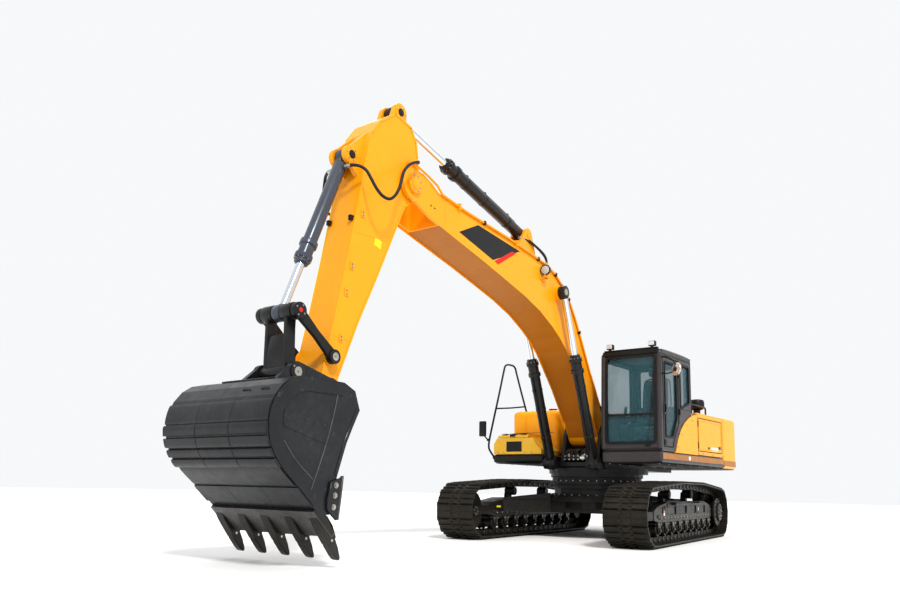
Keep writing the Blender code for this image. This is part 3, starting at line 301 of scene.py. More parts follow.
NODE_LOOK = {
    YEL: ["boom", "arm", "boom_pipes"],
    BODY: ["counterweight", "engine_housing", "engine_hood", "left_side_door", "right_side_door", "fuel_tank"],
    # the toolbox and its lid take the brighter yellow, a painted highlight
    YEL_PAINTED_HIGHLIGHT: ["toolbox", "toolbox_lid"],
    BLK: ["main_frame", "right_deck", "boom_cylinder_left", "boom_cylinder_right", "arm_cylinder", "idler_link_left",
          "idler_link_right", "bucket_link", "roof_lamps", "left_mirror", "right_mirror", "handrail"],
    UND: ["carbody", "slew_ring", "track_frame_left", "track_frame_right", "lower_rollers_left", "lower_rollers_right",
          "sprocket_left", "sprocket_right"],
    BKT: ["bucket"],
    CAB: ["cab_shell", "cab_door", "left_deck", "roof_hatch"],
    CYL: ["bucket_cylinder"],
    SHOE: ["track_left", "track_right"],
    LINKM: ["idler_left", "idler_right", "engine", "valve_block"],
    TOOTH: ["bucket_teeth"],
    CHR: ["boom_rod_left", "boom_rod_right", "arm_rod", "bucket_rod"],
    GLS: ["windscreen"],
    GLS2: ["right_cab_glass", "rear_cab_glass", "quarter_glass", "door_glass"],
    PLA: ["operator_station"],
    FAB: ["seat_cushion", "seat_back"],
    RUB: ["arm_hose_left", "arm_hose_right"],
}
for m, names in NODE_LOOK.items():
    for n in names:
        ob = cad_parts[n]
        if ob.material_slots:
            for s in ob.material_slots:
                s.material = m
        else:
            ob.data.materials.append(m)


# ------------------------------------------------------------ mesh tools
class Kit:
    """Gathers small shapes into one mesh object."""

    def __init__(self, *mats):
        self.v, self.f, self.fm, self.mats, self.m = [], [], [], list(mats), 0

    def take(self, bm, at=None):
        if at is not None:
            bmesh.ops.transform(bm, matrix=at, verts=bm.verts)
        bm.verts.index_update()
        o = len(self.v)
        self.v.extend(v.co.copy() for v in bm.verts)
        for f in bm.faces:
            self.f.append([o + v.index for v in f.verts])
            self.fm.append(self.m)
        bm.free()
        return self

    def raw(self, verts, faces):
        o = len(self.v)
        self.v.extend(Vector(v) for v in verts)
        for f in faces:
            self.f.append([o + i for i in f])
            self.fm.append(self.m)
        return self

    def box(self, lo, hi, bevel=0.0, seg=1, edges=None, at=None):
        bm = bmesh.new()
        bmesh.ops.create_cube(bm, size=1.0)
        lo, hi = Vector(lo), Vector(hi)
        for v in bm.verts:
            v.co = Vector(((lo[i] + hi[i]) / 2 + v.co[i] * (hi[i] - lo[i])) for i in range(3))
        if bevel:
            pick = bm.edges[:]
            if edges:
                k = "xyz".index(edges)
                pick = [e for e in bm.edges if abs((e.verts[0].co - e.verts[1].co).normalized()[k]) > 0.9]
            bmesh.ops.bevel(bm, geom=pick, offset=bevel, segments=seg, affect='EDGES', profile=0.5)
        return self.take(bm, at)

    def rod(self, a, b, r, seg=24, r2=None, bevel=0.0):
        a, b = Vector(a), Vector(b)
        bm = bmesh.new()
        bmesh.ops.create_cone(bm, cap_ends=True, segments=seg, radius1=r, radius2=r if r2 is None else r2,
                              depth=(b - a).length)
        if bevel:
            rim = [e for e in bm.edges if abs((e.verts[0].co - e.verts[1].co).normalized().z) < 0.1]
            bmesh.ops.bevel(bm, geom=rim, offset=bevel, segments=2, affect='EDGES', profile=0.5)
        turn = (b - a).to_track_quat('Z', 'Y').to_matrix().to_4x4()
        return self.take(bm, Matrix.Translation((a + b) / 2) @ turn)

    def across(self, pin, r, y0, y1, seg=24, bevel=0.0, r2=None):
        return self.rod((pin[0], y0, pin[1]), (pin[0], y1, pin[1]), r, seg, r2, bevel)

    def prism(self, outline, lo, hi, axis='y', bevel=0.0, at=None):
        bm = bmesh.new()
        place = {'y': lambda u, v, t: (u, t, v), 'z': lambda u, v, t: (u, v, t), 'x': lambda u, v, t: (t, u, v)}[axis]
        a = [bm.verts.new(place(u, v, lo)) for u, v in outline]
        b = [bm.verts.new(place(u, v, hi)) for u, v in outline]
        n = len(outline)
        bm.faces.new(a)
        bm.faces.new(list(reversed(b)))
        for i in range(n):
            bm.faces.new((a[i], b[i], b[(i + 1) % n], a[(i + 1) % n]))
        bmesh.ops.recalc_face_normals(bm, faces=bm.faces)
        if bevel:
            sharp = [e for e in bm.edges if e.calc_face_angle(0) > 0.5]
            bmesh.ops.bevel(bm, geom=sharp, offset=bevel, segments=1, affect='EDGES', profile=0.5)
        return self.take(bm, at)

    def tube(self, points, r, seg=10, closed=False, caps=True):
        P = [Vector(p) for p in points]
        n = len(P)
        T = []
        for i in range(n):
            a = P[i - 1] if (i > 0 or closed) else P[i]
            b = P[(i + 1) % n] if (i < n - 1 or closed) else P[i]
            T.append((b - a).normalized())
        ref = Vector((0, 0, 1)) if abs(T[0].z) < 0.9 else Vector((1, 0, 0))
        N = [(ref - T[0] * ref.dot(T[0])).normalized()]
        for i in range(1, n):
            v = N[-1] - T[i] * N[-1].dot(T[i])
            N.append(v.normalized() if v.length > 1e-6 else N[-1])
        rr = r if isinstance(r, (list, tuple)) else [r] * n
        verts, faces = [], []
        for i in range(n):
            B = T[i].cross(N[i])
            for k in range(seg):
                q = 2 * math.pi * k / seg
                verts.append(P[i] + (N[i] * math.cos(q) + B * math.sin(q)) * rr[i])
        rings = n if closed else n - 1
        for i in range(rings):
            j = (i + 1) % n
            for k in range(seg):
                faces.append((i * seg + k, i * seg + (k + 1) % seg, j * seg + (k + 1) % seg, j * seg + k))
        if not closed and caps:
            faces.append(tuple(reversed(range(seg))))
            faces.append(tuple((n - 1) * seg + k for k in range(seg)))
        return self.raw(verts, faces)

    def lathe(self, profile, a, direction, seg=32):
        """profile: (radius, distance along direction from a); ends closed."""
        a, d = Vector(a), Vector(direction).normalized()
        ref = Vector((0, 1, 0)) if abs(d.y) < 0.9 else Vector((1, 0, 0))
        n = (ref - d * ref.dot(d)).normalized()
        b = d.cross(n)
        verts, faces = [], []
        for r, t in profile:
            for k in range(seg):
                q = 2 * math.pi * k / seg
                verts.append(a + d * t + (n * math.cos(q) + b * math.sin(q)) * r)
        for i in range(len(profile) - 1):
            for k in range(seg):
                faces.append((i * seg + k, i * seg + (k + 1) % seg, (i + 1) * seg + (k + 1) % seg, (i + 1) * seg + k))
        faces.append(tuple(reversed(range(seg))))
        faces.append(tuple((len(profile) - 1) * seg + k for k in range(seg)))
        return self.raw(verts, faces)

    def bolt(self, p, n, r=0.014, h=0.010, washer=True):
        p, n = Vector(p), Vector(n).normalized()
        if washer:
            self.rod(p - n * 0.001, p + n * 0.003, r * 1.45, 12)
        return self.rod(p + n * 0.002, p + n * (0.003 + h), r, 6, r * 0.94)

    def done(self, name, body, at=U, smooth=35, slot=None, replaces=()):
        me = bpy.data.meshes.new(name)
        me.from_pydata([tuple(at @ v) for v in self.v], [], self.f)
        me.materials.clear()
        for m in self.mats:
            me.materials.append(m)
        me.polygons.foreach_set("material_index", self.fm)
        me.update()
        bm = bmesh.new()
        bm.from_mesh(me)
        bmesh.ops.recalc_face_normals(bm, faces=bm.faces)
        bm.to_mesh(me)
        bm.free()
        me.shade_smooth()
        me.set_sharp_from_angle(angle=math.radians(smooth))
        ob = bpy.data.objects.new(name, me)
        bpy.context.scene.collection.objects.link(ob)
        if body:
            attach(ob, body)
        if replaces:
            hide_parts(*replaces)
        return ob


def arc(c, r, a0, a1, n):
    return [(c[0] + r * math.cos(math.radians(a0 + (a1 - a0) * i / n)),
             c[1] + r * math.sin(math.radians(a0 + (a1 - a0) * i / n))) for i in range(n + 1)]


def curve(points, steps=6):
    """Catmull-Rom through the points."""
    P = [Vector(p) for p in points]
    P = [P[0] * 2 - P[1]] + P + [P[-1] * 2 - P[-2]]
    out = []
    for i in range(1, len(P) - 2):
        a, b, c, d = P[i - 1:i + 3]
        for k in range(steps):
            t = k / steps
            out.append(0.5 * ((2 * b) + (c - a) * t + (2 * a - 5 * b + 4 * c - d) * t * t
                              + (3 * b - a - 3 * c + d) * t ** 3))
    out.append(P[-2])
    return out


def inset(outline, d):
    """The outline moved inward by d (corners kept)."""
    n = len(outline)
    area = sum(outline[i][0] * outline[(i + 1) % n][1] - outline[(i + 1) % n][0] * outline[i][1] for i in range(n))
    s = -1 if area > 0 else 1
    out = []
    for i in range(n):
        p, q, r = Vector(outline[i - 1]), Vector(outline[i]), Vector(outline[(i + 1) % n])
        e1, e2 = (q - p).normalized(), (r - q).normalized()
        k = Vector((e1.y, -e1.x)) * s + Vector((e2.y, -e2.x)) * s
        k *= 2 * d / max(k.length_squared, 0.5)
        out.append((q.x + k.x, q.y + k.y))
    return out


def strip(kit, outline, width, y0, y1, closed=True, skip=()):
    """A flat band that follows the outline, width wide inward, from y0 to y1."""
    inn = inset(outline, width)
    n = len(outline)
    for i in range(n if closed else n - 1):
        if i in skip:
            continue
        j = (i + 1) % n
        a, b, c, d = outline[i], outline[j], inn[j], inn[i]
        v = [(p[0], y, p[1]) for y in (y0, y1) for p in (a, b, c, d)]
        kit.raw(v, [(0, 1, 2, 3), (7, 6, 5, 4), (0, 4, 5, 1), (2, 6, 7, 3), (1, 5, 6, 2), (3, 7, 4, 0)])


# ------------------------------------------------------------ camera, light, floor
def camera():
    yaw, pitch, roll = 3.8104, 0.1451, 0.0198
    fwd = Vector((math.cos(yaw) * math.cos(pitch), math.sin(yaw) * math.cos(pitch), math.sin(pitch)))
    r0 = Vector((math.sin(yaw), -math.cos(yaw), 0.0))
    u0 = r0.cross(fwd)
    right = r0 * math.cos(roll) + u0 * math.sin(roll)
    up = u0 * math.cos(roll) - r0 * math.sin(roll)
    cam = bpy.data.cameras.new("camera")
    cam.sensor_fit = 'HORIZONTAL'
    cam.sensor_width = 36.0
    cam.lens = 804.93 / 900 * 36
    cam.shift_x, cam.shift_y = 0.0248, 0.0760
    cam.clip_end = 200
    ob = bpy.data.objects.new("camera", cam)
    bpy.context.scene.collection.objects.link(ob)
    ob.matrix_world = Matrix(((right.x, up.x, -fwd.x, 10.1352), (right.y, up.y, -fwd.y, 6.2205),
                              (right.z, up.z, -fwd.z, 0.7861), (0, 0, 0, 1)))
    bpy.context.scene.camera = ob


camera()

world = bpy.data.worlds.new("studio")
bpy.context.scene.world = world
world.use_nodes = True
world.node_tree.nodes["Background"].inputs["Color"].default_value = (0.97, 0.985, 1.0, 1.0)
world.node_tree.nodes["Background"].inputs["Strength"].default_value = 0.80
bpy.context.scene.view_settings.view_transform = 'Standard'
bpy.context.scene.view_settings.look = 'Medium High Contrast'


def sun(name, direction, energy, angle, colour=(1, 1, 1)):
    li = bpy.data.lights.new(name, 'SUN')
    li.energy = energy
    li.angle = math.radians(angle)
    li.color = colour
    ob = bpy.data.objects.new(name, li)
    bpy.context.scene.collection.objects.link(ob)
    ob.rotation_euler = Vector(direction).to_track_quat('Z', 'Y').to_euler()


sun("key", (0.42, 0.62, 0.82), 2.0, 9, (1.0, 0.985, 0.95))
sun("rim", (-0.6, -0.4, 0.7), 0.35, 30, (0.95, 0.97, 1.0))

fl = Kit(surface("floor_pale", (0.90, 0.90, 0.895), 0.80, vary=0.01))
fl.raw([(-60, -60, -0.0005), (60, -60, -0.0005), (60, 60, -0.0005), (-60, 60, -0.0005)], [(0, 1, 2, 3)])
floor = fl.done("floor", None, Matrix.Identity(4))


# ------------------------------------------------------------ tracks
def belt(offset):
    rt, rc = TRACK_R - offset, CARRIER_R + BAND - offset
    zc = TRACK_TOP - (CARRIER_R + BAND)
    ring = [((SPROCKET_X, TRACK_R), rt), ((IDLER_X, TRACK_R), rt), ((CARRIER_X[0], zc), rc), ((CARRIER_X[1], zc), rc)]
    normals = []
    for i in range(4):
        (c1, r1), (c2, r2) = ring[i], ring[(i + 1) % 4]
        d = math.dist(c1, c2)
        normals.append(math.atan2(c2[1] - c1[1], c2[0] - c1[0]) - math.acos((r1 - r2) / d))
    parts = []
    for i in range(4):
        (c1, r1), (c2, r2) = ring[i], ring[(i + 1) % 4]
        n = normals[i]
        a = (c1[0] + r1 * math.cos(n), c1[1] + r1 * math.sin(n))
        b = (c2[0] + r2 * math.cos(n), c2[1] + r2 * math.sin(n))
        parts.append((math.dist(a, b), 'line', (a, b, n)))
        m = normals[(i + 1) % 4]
        while m < n:
            m += 2 * math.pi
        parts.append(((m - n) * r2, 'arc', (c2, r2, n, m)))
    return parts


def on_belt(parts, s):
    total = sum(p[0] for p in parts)
    s %= total
    for length, kind, data in parts:
        if s <= length or (length, kind, data) == parts[-1]:
            t = min(s / length, 1.0) if length > 1e-9 else 0.0
            if kind == 'line':
                a, b, n = data
                return Vector((a[0] + (b[0] - a[0]) * t, a[1] + (b[1] - a[1]) * t))
            c, r, n, m = data
            q = n + (m - n) * t
            return Vector((c[0] + r * math.cos(q), c[1] + r * math.sin(q)))
        s -= length


ROOT = belt(0.030)
TOTAL = sum(p[0] for p in ROOT)
PITCH = TOTAL / SHOES
p_ = PITCH
SHOE_PROFILE = [(-.490 * p_, -.018), (-.492 * p_, -.004), (-.470 * p_, .002), (-.452 * p_, .026), (-.418 * p_, .027), (-.385 * p_, .004),
                (-.350 * p_, .001), (-.090 * p_, .001), (-.065 * p_, .004), (-.040 * p_, .0275), (.000 * p_, .0275), (.028 * p_, .004),
                (.050 * p_, .001), (.320 * p_, .001), (.350 * p_, .004), (.376 * p_, .0275), (.420 * p_, .0285), (.455 * p_, .003),
                (.487 * p_, -.006), (.487 * p_, -.018)]
STATIONS = [(-.306, .45), (-.296, .95), (-.110, 1), (-.098, .92), (-.086, .30), (-.050, .22), (-.036, .80), (-.026, 1), (.026, 1), (.036, .80),
            (.050, .22), (.086, .30), (.098, .92), (.110, 1), (.296, .95), (.306, .45)]


def one_shoe():
    verts, faces = [], []
    n = len(SHOE_PROFILE)
    for y, k in STATIONS:
        for t, h in SHOE_PROFILE:
            verts.append(Vector((t, y, h * k if h > 0.002 else h)))
    for i in range(len(STATIONS) - 1):
        for j in range(n):
            faces.append((i * n + j, i * n + (j + 1) % n, (i + 1) * n + (j + 1) % n, (i + 1) * n + j))
    faces.append(tuple(reversed(range(n))))
    faces.append(tuple((len(STATIONS) - 1) * n + j for j in range(n)))
    return verts, faces


def tracks(side, tag):
    y = side * GAUGE / 2
    sv, sf = one_shoe()
    shoes, chain = Kit(SHOE), Kit(LINKM, EDGE)
    link = [(-.47 * p_, -.052), (-.40 * p_, -.024), (-.20 * p_, -.019), (.20 * p_, -.019), (.40 * p_, -.024), (.49 * p_, -.052),
            (.45 * p_, -.086), (.36 * p_, -.0995), (-.34 * p_, -.0995), (-.43 * p_, -.086)]
    for i in range(SHOES):
        a, b = on_belt(ROOT, (i + 0.012) * PITCH), on_belt(ROOT, (i + 0.988) * PITCH)
        t = (b - a).normalized()
        n = Vector((t.y, -t.x))
        mid = (a + b) / 2
        M = Matrix(((t.x, 0, n.x, mid.x), (0, 1, 0, y), (t.y, 0, n.y, mid.y), (0, 0, 0, 1)))
        shoes.raw([M @ v for v in sv], sf)
        for tt in (-.22, .19):
            for yy in (-.068, .068):
                for dy in (-.028, .028):
                    if dy * yy > 0:
                        shoes.rod(M @ Vector((tt * p_, yy, -.002)), M @ Vector((tt * p_, yy, .0125)), .0155, 6)
        for s2 in (-1, 1):
            y0 = s2 * 0.0795
            chain.m = 0
            chain.prism(link, min(y0, y0 + s2 * 0.030), max(y0, y0 + s2 * 0.030), at=M)
            chain.m = 1
            chain.rod(M @ Vector((.47 * p_, s2 * .1085, -.058)), M @ Vector((.47 * p_, s2 * .1220, -.058)), .021, 12)
        chain.m = 0
        chain.rod(M @ Vector((.47 * p_, -.100, -.058)), M @ Vector((.47 * p_, .100, -.058)), .030, 12)
    shoes.done("track_shoes_" + tag, "undercarriage", L, 30, replaces=("track_" + tag,))
    chain.done("track_chain_" + tag, "undercarriage", L, 35)

    # rollers with flanges, their brackets and the guards between them
    k = Kit(UND, EDGE, ZINC)
    k.box((-1.66, y - 0.150, 0.296), (1.62, y + 0.150, 0.334), 0.008)
    for i in range(9):
        x = -1.50 + i * 3.0 / 8
        k.m = 0
        k.lathe([(0.052, -.146), (0.088, -.142), (0.094, -.126), (0.094, -.118), (0.080, -.110), (0.080, -.066), (0.090, -.060),
                 (0.090, -.046), (0.070, -.040), (0.060, 0.0), (0.070, .040), (0.090, .046), (0.090, .060), (0.080, .066),
                 (0.080, .110), (0.094, .118), (0.094, .126), (0.088, .142), (0.052, .146)], (x, y, 0.222), (0, 1, 0), 22)
        for s2 in (-1, 1):
            ya, yb = sorted((y + s2 * 0.1475, y + s2 * 0.172))
            k.prism([(x - .088, .335), (x + .088, .335), (x + .080, .295), (x + .050, .190), (x + .026, .168), (x - .026, .168),
                     (x - .050, .190), (x - .080, .295)], ya, yb, bevel=0.005)
            k.across((x, 0.222), 0.034, *sorted((y + s2 * 0.170, y + s2 * 0.186)), seg=18, bevel=0.004)
            k.m = 2
            for dx in (-.060, .060):
                k.bolt((x + dx, y + s2 * 0.172, 0.305), (0, s2, 0), 0.011, 0.009)
            k.bolt((x, y + s2 * 0.185, 0.222), (0, s2, 0), 0.010, 0.006, False)
            k.m = 0
    k.done("lower_roller_set_" + tag, "undercarriage", L, 35, replaces=("lower_rollers_" + tag,))

    # track frame: cover plates, ribs, steps, bolts and blank markers on both sides
    k = Kit(UND, ZINC, WHT, ORANGE, LBL, EDGE)
    for s2 in (side, -side):
        f = y + s2 * (0.165 if s2 == side else 0.150)
        o = lambda d: sorted((f - s2 * 0.002, f + s2 * d))
        k.prism([(-1.52, .372), (1.46, .372), (1.58, .40), (1.58, .44), (-1.52, .44)], *o(0.010), bevel=0.004)
        k.prism([(-1.30, .555), (1.10, .555), (1.06, .598), (-1.26, .598)], *o(0.012), bevel=0.004)
        for x in (-1.22, -.62, 0.0, .62, 1.22):
            k.prism([(x - .012, .440), (x + .012, .440), (x + .012, .560), (x - .012, .560)], *o(0.016), bevel=0.003)
        k.m = 1
        for i in range(17):
            k.bolt((-1.44 + i * 0.18, f + s2 * 0.010, 0.392), (0, s2, 0), 0.011, 0.008)
        k.m = 0
    out = y + side * 0.166
    o = lambda d: sorted((out, out + side * d))
    k.box((0.98, o(.010)[0], 0.462), (1.32, o(.010)[1], 0.545), 0.006)
    k.m = 2
    k.box((1.235, o(.0115)[0], 0.425), (1.290, o(.0115)[1], 0.470), 0.002)
    k.box((-0.820, o(.004)[0], 0.470), (-0.780, o(.004)[1], 0.525), 0.002)
    k.m = 3
    k.box((1.235, o(.0120)[0], 0.474), (1.290, o(.0120)[1], 0.500), 0.002)
    k.m = 4
    a, b = sorted((y - side * 0.151, y - side * 0.156))
    k.box((1.30, a, 0.470), (1.44, b, 0.500), 0.004)
    k.m = 0
    # steps with a toothed tread
    ya, yb = sorted((y + side * 0.165, y + side * 0.238))
    for x0 in (-0.92, 0.50):
        k.box((x0, ya, 0.601), (x0 + .32, yb, 0.611), 0.003)
        k.m = 5
        for i in range(9):
            k.box((x0 + .02 + i * .034, ya + .006, 0.611), (x0 + .034 + i * .034, yb - .006, 0.620), 0.002)
        k.m = 0
    for cx in CARRIER_X:
        cz = TRACK_TOP - BAND - CARRIER_R - 0.004
        k.lathe([(0.040, -.062), (.069, -.060), (.0715, -.050), (.069, -.040), (.064, -.036), (.064, .050), (.069, .055), (.0715, .066),
                 (.069, .082), (.045, .086), (.045, .092), (.030, .094)], (cx, y, cz), (0, side, 0), 24)
        k.prism([(cx - .10, .600), (cx + .10, .600), (cx + .045, cz + .030), (cx - .045, cz + .030)], y - .085, y - .062, bevel=.004)
    # idler: rim and hub, with its bolts
    k.lathe([(0.070, -.160), (0.085, -.158), (0.085, -.112), (0.205, -.100), (0.225, -.108), (0.280, -.104), (0.292, -.090), (0.292, -.050),
             (0.302, -.046), (0.302, .046), (0.292, .050), (0.292, .090), (0.280, .104), (0.225, .108), (0.205, .100), (0.085, .112),
             (0.085, .158), (0.070, .160)], (IDLER_X, y, TRACK_R), (0, 1, 0), 40)
    k.m = 1
    for s2 in (-1, 1):
        for i in range(6):
            q = math.radians(60 * i + 15)
            k.bolt((IDLER_X + .055 * math.cos(q), y + s2 * .160, TRACK_R + .055 * math.sin(q)), (0, s2, 0), .009, .007)
    # final drive: stepped cover with its bolt rings and plugs
    k.m = 0
    c = (SPROCKET_X, y, TRACK_R)
    k.lathe([(0.215, .150), (0.240, .156), (0.248, .170), (0.248, .196), (0.238, .206), (0.208, .210), (0.200, .2155), (0.160, .2165),
             (0.156, .246), (0.145, .2535), (0.060, .2555), (0.055, .2585), (0.0, .2585)], c, (0, side, 0), 44)
    k.m = 1
    for i in range(16):
        q = 2 * math.pi * (i + .5) / 16
        k.bolt((c[0] + .222 * math.cos(q), y + side * .207, c[2] + .222 * math.sin(q)), (0, side, 0), .011, .008)
    for i in range(10):
        q = 2 * math.pi * i / 10
        k.bolt((c[0] + .126 * math.cos(q), y + side * .254, c[2] + .126 * math.sin(q)), (0, side, 0), .009, .006)
    for q in (.6, 2.7, 4.8):
        k.bolt((c[0] + .062 * math.cos(q), y + side * .2555, c[2] + .062 * math.sin(q)), (0, side, 0), .016, .010, False)
    # sprocket teeth between the chain's links
    k.m = 5
    teeth = []
    for i in range(21):
        a0 = 360.0 * i / 21
        teeth += [(c[0] + rr * math.cos(math.radians(a0 + da)), c[2] + rr * math.sin(math.radians(a0 + da)))
                  for rr, da in ((.300, 0.0), (.318, 2.4), (.352, 5.6), (.352, 8.4), (.318, 11.6), (.300, 14.0))]
    k.prism(teeth, y - .030, y + .030)
    k.done("track_frame_detail_" + tag, "undercarriage", L, 35)


tracks(1, "left")
tracks(-1, "right")

k = Kit(UND, ZINC, RUB, EDGE)
for i in range(36):
    q = 2 * math.pi * i / 36
    k.m = 1
    k.bolt((.7505 * math.cos(q), .7505 * math.sin(q), .915), (0, 0, 1), .011, .010)
    k.bolt((.790 * math.cos(q), .790 * math.sin(q), .690), (math.cos(q) * .6, math.sin(q) * .6, 1), .010, .008)
k.m = 0
k.lathe([(0.735, .9755), (0.757, .9765), (0.760, .986)], (0, 0, 0), (0, 0, 1), 64)
k.lathe([(0.765, .8595), (0.7685, .865), (0.7685, .910), (0.765, .9155)], (0, 0, 0), (0, 0, 1), 64)
for sx in (-1, 1):
    for sy in (-1, 1):
        # sloped top and front plates that stiffen each leg where it meets the track frame
        k.prism([(sx * .30, sy * .62), (sx * .60, sy * .50), (sx * 1.16, sy * 1.147), (sx * .66, sy * 1.147)], .6005, .616, 'z', bevel=.004)
        for u in (0, 1):
            a = Vector((sx * (.34 if u else .62), sy * .60, 0)) if u else Vector((sx * .64, sy * .57, 0))
            b = Vector((sx * (.70 if u else 1.19), sy * 1.147, 0))
            d = (b - a).normalized()
            n = Vector((-d.y, d.x, 0)) * .010
            v = [a - n, b - n, b + n, a + n]
            k.raw([(p.x, p.y, z) for z in (.606, .665) for p in v][:4] + [(v[0].x, v[0].y, .715), (v[1].x, v[1].y, .630), (v[2].x, v[2].y, .630), (v[3].x, v[3].y, .715)],
                  [(0, 3, 2, 1), (4, 5, 6, 7), (0, 1, 5, 4), (2, 3, 7, 6), (1, 2, 6, 5), (3, 0, 4, 7)])
k.m = 2
for sy in (-1, 1):
    for j in (0, 1):
        y0 = sy * (.20 + .06 * j)
        k.tube(curve([(-.50, y0, .560), (-.72, sy * (.42 + .07 * j), .628), (-.95, sy * (.86 + .05 * j), .632), (-1.10, sy * 1.06, .632),
                      (-1.30, sy * 1.14, .632)], 6), .018, 10)
k.done("carbody_detail", "undercarriage", L, 35)


# ------------------------------------------------------------ free hoses over the arm's pivot
HOSE = [(5.357, 0.3255, 4.652), (5.357, 0.348, 4.652), (5.385, 0.375, 4.645), (5.44, 0.395, 4.62),
        (5.52, 0.405, 4.58), (5.62, 0.415, 4.51), (5.72, 0.435, 4.40), (5.78, 0.455, 4.28),
        (5.83, 0.465, 4.16), (5.90, 0.468, 4.05), (5.99, 0.462, 3.98), (6.09, 0.445, 3.99),
        (6.165, 0.415, 4.065), (6.21, 0.375, 4.17), (6.245, 0.33, 4.265), (6.29, 0.27, 4.315),
        (6.33, 0.20, 4.33), (6.345, 0.165, 4.33), (6.345, 0.1355, 4.33)]
for s, tag in ((1, "left"), (-1, "right")):
    pts = curve([(x, s * y, z) for x, y, z in HOSE], 7)
    k = Kit(RUB, ZINC)
    k.tube(pts, 0.018, 12)
    k.m = 1
    for a, b in ((0, 9), (len(pts) - 10, len(pts) - 1)):
        k.tube(pts[a:b + 1], 0.0205, 14)
    ob = k.done("arm_hose_visible_" + tag, None, slot="hose_rubber", replaces=("arm_hose_" + tag,))
    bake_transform(ob)


# ------------------------------------------------------------ cylinders
def cylinder(tag, body, rod_body, names, rod_names, base, head, ys, r, collar, rod_r, gland, inner, eye_r, eye_w, look, bore, port=None):
    kb, kr = Kit(look, ZINC, RUB, GSK), Kit(CHR, look, ZINC, GSK)
    for y in ys:
        b, h = Vector((base[0], y, base[1])), Vector((head[0], y, head[1]))
        u = (h - b).normalized()
        n = Vector((-u.z, 0, u.x))
        at = lambda s: b + u * s
        kb.m = 0
        kb.lathe([(r * .55, eye_r + .010), (r * .93, eye_r + .024), (r, eye_r + .036), (r, gland - .262), (collar * .985, gland - .258),
                  (collar, gland - .250), (collar, gland - .200), (r * 1.04, gland - .190), (r * 1.04, gland - .090), (collar, gland - .080),
                  (collar, gland - .026), (collar * .96, gland - .020), (collar * .84, gland - .018), (collar * .82, gland - .005),
                  (collar * .80, gland + .022), (collar * .70, gland + .029), (rod_r + .010, gland + .030), (rod_r + .002, gland + .030)], b, u, 40)
        kb.prism([((b + u * 0 - n * r * .78).x, (b - n * r * .78).z), ((at(eye_r + .034) - n * r * .86).x, (at(eye_r + .034) - n * r * .86).z),
                  ((at(eye_r + .034) + n * r * .86).x, (at(eye_r + .034) + n * r * .86).z), ((b + n * r * .78).x, (b + n * r * .78).z)],
                 y - eye_w + .004, y + eye_w - .004, bevel=.010)
        kb.across(base, eye_r, y - eye_w, y + eye_w, 36, .006)
        kb.m = 1
        for i in range(10):
            q = 2 * math.pi * (i + .5) / 10
            d = (n * math.cos(q) + Vector((0, 1, 0)) * math.sin(q)) * collar * .90
            kb.bolt(at(gland - .021) + d, u, .0085, .010, False)
        kb.m = 3
        kb.lathe([(rod_r + .0035, gland + .0290), (rod_r + .0035, gland + .0325), (rod_r + .0008, gland + .0345)], b, u, 30)
        kb.m = 1
        for s in (-1, 1):
            kb.across(base, .016, *sorted((y + s * eye_w, y + s * (eye_w + .002))), seg=12)
        kb.m = 0
        # hard line along the barrel with its end blocks and clamp bands
        side = -1 if tag == "boom" else 1
        rise = n * side
        if tag != "bucket":
            o = r + .026
            kb.tube([at(eye_r + .13) + rise * (r - .004), at(eye_r + .135) + rise * o, at(eye_r + .16) + rise * (o + .004), at(gland - .31) + rise * (o + .004),
                     at(gland - .285) + rise * o, at(gland - .28) + rise * (r - .004)], .0125, 10)
            for sp in (eye_r + .34, (eye_r + gland) / 2, gland - .50):
                kb.lathe([(r + .0005, 0), (r + .004, .002), (r + .004, .034), (r + .0005, .036)], at(sp), u, 36)
                kb.box((-.020, -.022, -.018), (.020, .022, .018), .004,
                       at=Matrix.Translation(at(sp + .018) + rise * (o + .002)) @ Matrix((tuple(u), (0, 1, 0), tuple(n))).transposed().to_4x4())
        if port:
            for s in (-1, 1):
                kb.m = 0
                kb.across(port, .028, *sorted((s * .060, s * .094)), seg=20, bevel=.003)
                kb.m = 1
                kb.across(port, .0225, *sorted((s * .092, s * .112)), seg=6)
                kb.across(port, .0255, *sorted((s * .110, s * .1355)), seg=6)
        # rod: chrome run, wiper seal, welded neck and its eye with the bush showing
        kr.m = 0
        ln = (h - b).length
        kr.lathe([(rod_r * .9, inner), (rod_r, inner + .006), (rod_r, ln - eye_r + .010)], b, u, 40)
        kr.m = 1
        kr.lathe([(rod_r * .98, ln - eye_r + .001), (rod_r * 1.22, ln - eye_r + .014), (rod_r * 1.30, ln - eye_r * .5)], b, u, 32)
        kr.across(head, eye_r, y - eye_w, y + eye_w, 36, .006)
        kr.m = 2
        for s in (-1, 1):
            kr.across(head, .052, *sorted((y + s * (eye_w - .002), y + s * (eye_w + .0012))), seg=28)
        kr.rod(h + u * 0 + n * (eye_r - .002), h + n * (eye_r + .008), .006, 8)
    kb.done(tag + "_cylinder_barrel_finish", body, replaces=names)
    kr.done(tag + "_cylinder_rod_finish", rod_body, slot="chrome_rod", replaces=rod_names)


